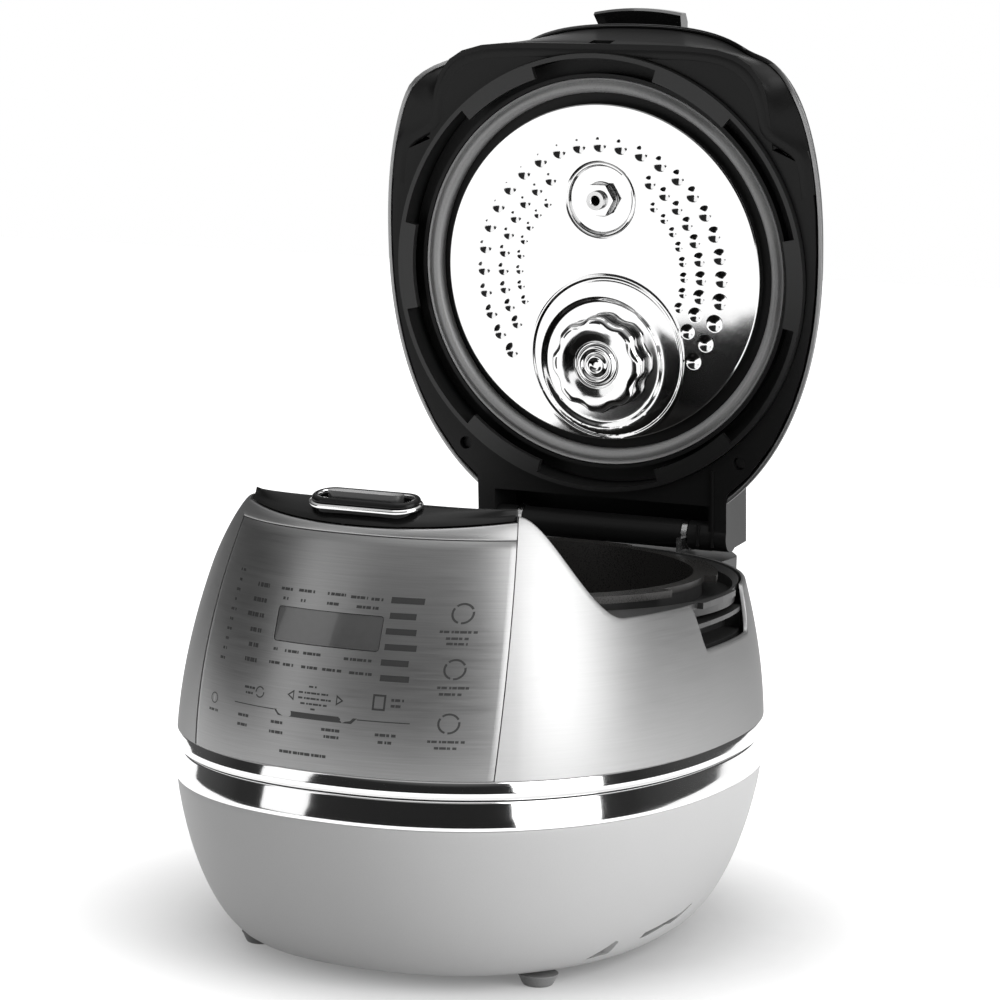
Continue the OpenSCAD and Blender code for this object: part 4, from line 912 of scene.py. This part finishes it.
add_ring(0, 0, DISH_FACE_R, 200, True)
add_ring(0, -VENT_OFF, VENT_HOLE, 64, True)
add_ring(0, KNOB_OFF, KNOB_HOLE, 40, True)
for cx, cy, r in DIMPLES:
    for f, n in ((0, 1), (0.25, 10), (0.5, 14), (0.72, 18), (0.88, 20), (1.0, 22), (1.12, 22)):
        add_ring(cx, cy, r * f, n)
for r in (18.5, 19.0, 19.6, 20.2, 20.8, 22):
    add_ring(0, -VENT_OFF, r, 72)
for r in (9, 14, 20, 26, 30.5, 31.6, 32.4, 33.4, 34.2, 35.0, 35.7, 36.6):
    add_ring(0, KNOB_OFF, r, 96)
for r in (-3, -2.2, -1.6, -1.1, -0.6, 0, 0.6, 1.1, 1.7, 2.6):
    add_ring(EMBOSS[0], EMBOSS[1], EMBOSS[2] + r, 160)
for r in (86, 82, 77, 73):
    add_ring(0, 0, r, 140)
flat, _, tris, *_ = geometry.delaunay_2d_cdt(points, edges, [], 1, 1e-4)
inside = []
for t in tris:
    cx, cy = sum(flat[i].x for i in t) / 3, sum(flat[i].y for i in t) / 3
    from_vent, from_knob = math.hypot(cx, cy + VENT_OFF), math.hypot(cx, cy - KNOB_OFF)
    if math.hypot(cx, cy) < DISH_FACE_R and from_vent > VENT_HOLE and from_knob > KNOB_HOLE:
        inside.append(tuple(t))
verts = [on_pot_lid(p.x, p.y, DISH_Z + dish_height(p.x, p.y)) for p in flat]
face = mesh_object("dish_face", verts, inside, angle=60)
rim = lifted(DISH_Z, (DISH_R - 0.8, 0), (DISH_R - 0.25, 0.25), (DISH_R, 0.9), (DISH_R, 4.4),
             (DISH_R - 0.3, 4.6), (DISH_R - 1.1, 4.6), (DISH_R - 1.2, 4.2), (DISH_R - 1.2, 1.7),
             (DISH_R - 2.2, 1.25))
back = spin("dish_rim", rim, on_pot_lid, 180, False)
hole_rows = lifted(DISH_Z, (18.0, 1.9), (18.0, 0.6), (18.35, 0.05), (18.9, -0.05), (19.3, 0.25), (19.3, 1.4))
hole = spin("vent_rim", hole_rows, at_vent, 96, True)
for o in (back, hole):
    piece(o, "inner_cover", "stainless")
piece(face, "inner_cover", "stainless", "inner_dish")

# --- scalloped knob -----------------------------------------------------------
SCALLOPS = 8
SCALLOP_R = 12
SMOOTHING = (-7, -4.5, -2, 0, 2, 4.5, 7)  # hundredths of a radian to each side


def knob_radius(a):
    """The outline of a round knob with scallops cut into it."""
    best = KNOB_R
    for k in range(SCALLOPS):
        c = math.radians(k * 45 + 22.5)
        dx, dy = (KNOB_R + 10) * math.cos(c), (KNOB_R + 10) * math.sin(c)
        along = dx * math.cos(a) + dy * math.sin(a)
        off = abs(-dx * math.sin(a) + dy * math.cos(a))
        if along > 0 and off < SCALLOP_R:
            best = min(best, along - math.sqrt(SCALLOP_R ** 2 - off * off))
    return best


KNOB_BACK, KNOB_FACE = DISH_Z - 2.0, DISH_Z - 9.0
KNOB_HUB = lifted(KNOB_FACE, (12.9, 1.2), (12.6, 2.2), (11.6, 2.6), (10.6, 2.2), (10.2, 0.9), (9.6, 0.35),
                  (8.6, 0.3), (7.8, 0.7), (7.4, 1.3), (6.6, 1.5), (5.8, 1.2), (5.2, 0.4), (4.2, 0.2),
                  (3.2, 0.5), (2.6, 1.1), (1.4, 1.2), (0.02, 1.2))


def knob_column(a):
    """The knob's profile at angle a, its corners rounded where a scallop meets the rim."""
    r = sum(knob_radius(a + d / 100) for d in SMOOTHING) / len(SMOOTHING)
    inner = min(r - 4.2, 19.0)
    rows = lifted(KNOB_BACK, (6, 0), (r - 1.2, 0), (r - 0.3, -0.4), (r, -1.2))
    rows += lifted(KNOB_FACE, (r - 0.05, 3.6), (r - 0.35, 2.2), (r - 0.9, 1.2), (r - 1.8, 0.45),
                   (r - 2.9, 0.1), (r - 4.2, 0))
    for f in (0.85, 0.6, 0.35, 0.1):
        rows.append((13.5 + (inner - 13.5) * f, KNOB_FACE + 0.2 + 0.9 * (1 - f) ** 1.5))
    return [at_knob(q * math.cos(a), q * math.sin(a), z) for q, z in rows + KNOB_HUB]


knob = loft("knob_scalloped", [knob_column(math.tau * i / 320) for i in range(320)], True, False, angle=60)
piece(knob, "cover_knob", "stainless", "dish_knob")
SLOT_R = 22.3  # radius of the eight marks on the knob's face
SLOT_SECTION = ((-1, 0.02), (1, 0.02), (1, 0.3), (-1, 0.3))


def slot_column(mid, f):
    """The section of a mark at share f of its length."""
    a = math.radians(mid - 8 + 16 * f)
    w = 0.75 * math.sin(math.pi * min(max(f, 0.04), 0.96)) ** 0.4
    return [at_knob((SLOT_R + s * w) * math.cos(a), (SLOT_R + s * w) * math.sin(a), KNOB_FACE + d)
            for s, d in SLOT_SECTION]


# the eight slots are thin near-black sheets on the knob's face, painted shade
for k in range(SCALLOPS):
    mark = loft("knob_slot_%d" % k, [slot_column(k * 45, j / 12) for j in range(13)], False, True, caps=True)
    piece(mark, "cover_knob", "ring_black", look="shadow_gap")

# --- steam nozzle: a tube with a rolled mouth -----------------------------------
nozzle_rows = lifted(DISH_Z, (2.5, 18.6), (2.5, -6.6), (2.8, -7.0), (4.9, -7.1), (5.0, -6.6), (5.0, -4.4),
                     (4.6, -4.0), (4.6, -1.2), (5.0, -0.8), (5.0, -0.1), (9.0, 0), (9.0, 5.0), (7.0, 5.2),
                     (7.0, 18.8))
nozzle = spin("nozzle_tube", nozzle_rows, at_vent, 64, True, angle=30)
piece(nozzle, "lid", "plated_steel", "steam_nozzle")

# --- steel floor of the vent's recess -------------------------------------------
pan_rows = lifted(DISH_Z, (9.3, 1.5), (17.2, 1.5), (18.0, 0.7), (18.2, 1.0), (18.2, 2.0), (9.3, 2.0))
pan = spin("vent_pan", pan_rows, at_vent, 96, True, angle=40)
piece(pan, "inner_cover", "stainless")

# --- printed legends, as plain bars and signs with no words -----------------
class Print:
    """Flat marks that lie on the panel, given as (x, z) and joined into one mesh."""

    def __init__(self):
        self.verts, self.faces = [], []

    def quad(self, pts, out=0.05):
        s = len(self.verts)
        self.verts += [on_panel(x, z, out) for x, z in pts]
        self.faces.append(tuple(range(s, s + len(pts))))

    def bar(self, x0, x1, z, h):
        """A bar in lengths of about 3 mm, so that it follows the panel's curve."""
        n = max(1, round((x1 - x0) / 3))
        for k in range(n):
            a, b = x0 + (x1 - x0) * k / n, x0 + (x1 - x0) * (k + 1) / n
            self.quad([(a, z - h / 2), (b, z - h / 2), (b, z + h / 2), (a, z + h / 2)])

    def words(self, x0, x1, z, h, seed):
        """A caption too small to read, as short strokes."""
        x, k = x0, seed
        while x < x1 - 0.5:
            w = 0.9 + (k * 7 % 5) * 0.45
            self.bar(x, min(x + w, x1), z, h)
            x += w + 0.35 + (0.5 if k % 4 == 0 else 0)
            k += 1

    def ring(self, x, z, r, w, arcs=3, gap=16):
        """A ring of arcs, from radius r outward by w, with gaps in degrees."""

        def spot(radius, a):
            return (x + radius * math.cos(a), z + radius * math.sin(a))

        for arc in range(arcs):
            lo, hi = 360 / arcs * arc + gap / 2 + 20, 360 / arcs * (arc + 1) - gap / 2 + 20
            for k in range(12):
                p, q = math.radians(lo + (hi - lo) * k / 12), math.radians(lo + (hi - lo) * (k + 1) / 12)
                self.quad([spot(r, p), spot(r + w, p), spot(r + w, q), spot(r, q)])

    def captions(self, rows, height, seed):
        """Captions from rows of (x from, x to, z)."""
        for x0, x1, z in rows:
            self.words(x0, x1, z, height, seed(x0, z))

    def done(self, name, look):
        piece(mesh_object(name, self.verts, self.faces), "body", "panel_metal", look=look)


dark = Print()
for x, z in ((57, 180.7), (57.6, 156.6), (58, 133)):
    dark.ring(x, z, 3.7, 0.9)
    dark.words(x - 8 if z > 170 or z < 140 else x - 6, x + 7, z - 8.0, 1.1, 3)
    dark.words(x - 5, x + 4, z - 10.8, 1.1, 6)
dark.words(52.5, 61, 167.6, 1.1, 2)
# six rows beside the window, to its right and to its left
for k, wide in enumerate((7.5, 8.5, 10.5, 7.0, 6.5, 7.5)):
    z = 185.2 - 6.75 * k
    dark.bar(25.8 + (k % 2) * 0.6, 40.6 - (k * 5 % 3) * 1.2, z, 2.7)
    dark.words(-38.5 - wide, -38.5, 185.4 - 6.6 * k, 1.9, k)
# captions above and below the window
dark.captions(((-31, -24.5, 185.4), (-21, -11.5, 185.6), (-5.5, 3.8, 185.6), (6.4, 14.8, 185.2),
               (16.4, 22.6, 185), (-29, -26, 181.3), (-19, -16.4, 181.3), (-5, 1, 181.4), (10, 20.6, 181.2),
               (-29.6, -27.2, 159), (-23, -15.4, 158.8), (-13, -3.6, 158.8), (8, 21.4, 158.4),
               (-31, -24.8, 153), (-23, -16.6, 152.8), (-13, -4.6, 152.8), (-2, 8.2, 152.8),
               (11.5, 22.8, 152.6)), 1.25, lambda x, z: int(x + z) % 9)
dark.ring(-34, 139, 2.0, 0.6, 2, 30)
dark.words(-43.6, -37.2, 140.2, 1.1, 2)
dark.words(-42.6, -38.2, 137.8, 1.0, 5)
# two hollow arrows, with small captions between them and a square sign to their right
for s, x in ((-1, -16.4), (1, 8.6)):
    back, tip, inner = x - s * 1.6, x + s * 2.0, x + s * 0.9
    dark.quad([(back, 142.4), (back, 141.6), (inner, 140.0), (tip, 140.0)])
    dark.quad([(back, 137.6), (tip, 140.0), (inner, 140.0), (back, 138.4)])
    dark.quad([(back, 142.4), (x - s * 1.1, 142.0), (x - s * 1.1, 138.0), (back, 137.6)])
dark.captions(((-7.5, -3, 144.6), (-12.5, 3.6, 141.8), (-12.5, 4.4, 139.4), (-11, 2.6, 137.0),
               (-5.5, -2.5, 134.8)), 0.85, lambda x, z: 4)
for x0, x1, z0, z1 in ((24.4, 30.4, 143.4, 144.3), (24.4, 30.4, 137.2, 138.1), (24.4, 25.3, 138.1, 143.4),
                       (29.5, 30.4, 138.1, 143.4)):
    dark.quad([(x0, z0), (x1, z0), (x1, z1), (x0, z1)])
dark.words(32.8, 38.4, 142.2, 1.2, 3)
dark.words(32.8, 37.2, 139.6, 1.2, 6)
# a line right across, thicker in its middle
dark.bar(-49, -25, 132.6, 0.45)
dark.bar(18, 42, 132.4, 0.45)
dark.quad([(-25, 132.9), (-22.4, 130.3), (-14, 130.3), (-14, 132.9)])
dark.bar(-14, 7, 131.6, 2.6)
dark.quad([(7, 132.9), (7, 130.3), (15.4, 130.3), (18, 132.9)])
dark.captions(((-46, -39.5, 127.4), (-46, -40, 123.2), (-26, -19.5, 127.0), (-26.5, -19, 122.6),
               (1, 11.5, 126.6), (2.5, 10, 123.6), (27, 36.4, 126.6), (28.6, 35, 123.4),
               (-20, 4.4, 114.6)), 1.3, lambda x, z: int(x - z) % 7)
# the column of short captions at the left edge, which follows the panel's lean
for k, wide in enumerate((4.2, 2.4, 3.2, 2.2, 4.0, 2.6, 3.4, 2.4, 2.8, 4.2)):
    dark.words(-58.2 - wide / 2 - k * 0.35, -58.2 + wide / 2 - k * 0.35, 190 - k * 4.4, 1.2, k)
dark.ring(-63.7, 131.8, 2.1, 0.45, 1, 2)
dark.words(-67, -60.4, 126.4, 1.1, 3)
dark.done("panel_print", "print_dark")
light = Print()
light.quad([(-64.3, 130.3), (-63.1, 130.3), (-63.1, 133.3), (-64.3, 133.3)], 0.06)
light.done("panel_print_light", "silver_skin")

# --- camera, floor and light ------------------------------------------------
CAMERA_DISTANCE, CAMERA_HEIGHT = 1559.708, 406.815  # mm from the body's middle and from the floor
CAMERA_ROUND = 25.475  # degrees round to the right of the body's front
CAMERA_YAW, CAMERA_PITCH, CAMERA_ROLL = CAMERA_ROUND - 0.296, 7.053, 1.624
LENS, SENSOR = 115.2, 36.0


def find_camera():
    round_by = math.radians(CAMERA_ROUND)
    yaw, pitch, roll = (math.radians(a) for a in (CAMERA_YAW, CAMERA_PITCH, CAMERA_ROLL))
    cam = bpy.data.cameras.new("camera")
    cam.lens, cam.sensor_width = LENS, SENSOR
    cam.clip_start, cam.clip_end = 0.1, 50
    o = bpy.data.objects.new("camera", cam)
    bpy.context.scene.collection.objects.link(o)
    flat = math.cos(pitch)
    forward = Vector((-math.sin(yaw) * flat, math.cos(yaw) * flat, -math.sin(pitch)))
    level_right = Vector((math.cos(yaw), math.sin(yaw), 0))
    level_up = level_right.cross(forward)
    right = level_right * math.cos(roll) + level_up * math.sin(roll)
    up = level_up * math.cos(roll) - level_right * math.sin(roll)
    m = Matrix((right, up, -forward)).transposed().to_4x4()
    x, y = CAMERA_DISTANCE * math.sin(round_by), -CAMERA_DISTANCE * math.cos(round_by)
    m.translation = at(x, y, CAMERA_HEIGHT)
    o.matrix_world = m
    bpy.context.scene.camera = o


find_camera()


def lamp(name, place, target, width, height, power):
    """A white rectangle of light, in metres and watts, that faces target."""
    data = bpy.data.lights.new(name, "AREA")
    data.shape = "RECTANGLE"
    data.size, data.size_y, data.energy = width, height, power
    o = bpy.data.objects.new(name, data)
    o.location = place
    o.rotation_euler = (Vector(target) - Vector(place)).to_track_quat("-Z", "Y").to_euler()
    bpy.context.scene.collection.objects.link(o)


lamp("key_right", (1.66, -0.38, 0.78), (0, 0, 0.12), 1.3, 1.5, 25)
lamp("key_left", (-1.36, -1.74, 0.8), (0, 0, 0.15), 0.8, 1.4, 4.4)
lamp("top_soft", (0.0, 0.1, 2.2), (0, 0, 0.2), 1.6, 1.6, 9)


BACKDROP = (-0.42, 0.90, -0.10)  # the direction of the white backdrop's middle
# steps of (place, grey level), from opposite the backdrop to it, and from below to overhead
BACK_STEPS = ((0.0, 0.02), (0.5, 0.03), (0.75, 0.08), (0.95, 0.12), (0.98, 1.0))
CEILING_STEPS = ((0.0, 0.0), (0.66, 0.0), (0.76, 0.28), (0.86, 0.55), (1.0, 0.75))


def find_world():
    """A white backdrop behind the object, a soft ceiling, and a dim room behind the camera."""
    w = bpy.data.worlds.new("studio")
    w.use_nodes = True
    bpy.context.scene.world = w
    net = Net(w.node_tree)
    ray = net.add("TexCoord", {}, "Generated")
    toward = net.add("VectorMath", {0: ray, 1: BACKDROP}, "Value", operation="DOT_PRODUCT")
    back = net.level(net.spread(toward, 0, 1, -1, 1), BACK_STEPS)
    ceiling = net.level(net.spread(net.add("SeparateXYZ", {0: ray}, "Z"), 0, 1, -1, 1), CEILING_STEPS)
    both = {"Factor": 1.0, "A": back, "B": ceiling}
    light = net.add("Mix", both, "Result", data_type="RGBA", blend_type="LIGHTEN")
    background = w.node_tree.nodes["Background"].inputs
    net.join(light, background["Color"])
    net.join(1.0, background["Strength"])


find_world()


def seen_in_rays(net):
    """1 for camera, glossy and transmission rays, and 0 for the rays that light the object."""
    total = net.add("LightPath", {}, "Is Camera Ray")
    for name in ("Is Glossy Ray", "Is Transmission Ray"):
        total = net.math("ADD", total, net.add("LightPath", {}, name), use_clamp=True)
    return total


GLOW_REACH = 2  # metres
FLOOR_GLOW = ((0.0, 0.1), (0.06, 0.18), (0.13, 0.92), (0.22, 1.0), (1.0, 1.0))  # (share of reach, glow)


def floor_paper():
    """Grey paper that fades into the white backdrop with distance from the object."""
    m, net, look = new_material("floor_paper")
    grain = net.noise(net.coords(), 30.0, 3.0)
    net.join(net.tint(net.spread(grain, 0, 1), grey(0.56), grey(0.58)), look["Base Color"])
    away = net.add("VectorMath", {0: net.coords()}, "Value", operation="LENGTH")
    fade = net.level(net.spread(away, 0, 1, 0, GLOW_REACH), FLOOR_GLOW)
    net.join(net.math("MULTIPLY", fade, seen_in_rays(net)), look["Emission Strength"])
    net.join(0.6, look["Roughness"])
    net.join((1, 1, 1, 1), look["Emission Color"])
    return m


FLOOR_HALF = 6
corners = [(x * FLOOR_HALF, y * FLOOR_HALF, 0) for x, y in ((-1, -1), (1, -1), (1, 1), (-1, 1))]
floor = mesh_object("floor", corners, [(0, 1, 2, 3)], smooth=False)
floor.data.materials.append(floor_paper())
bpy.context.scene.view_settings.view_transform = "Standard"
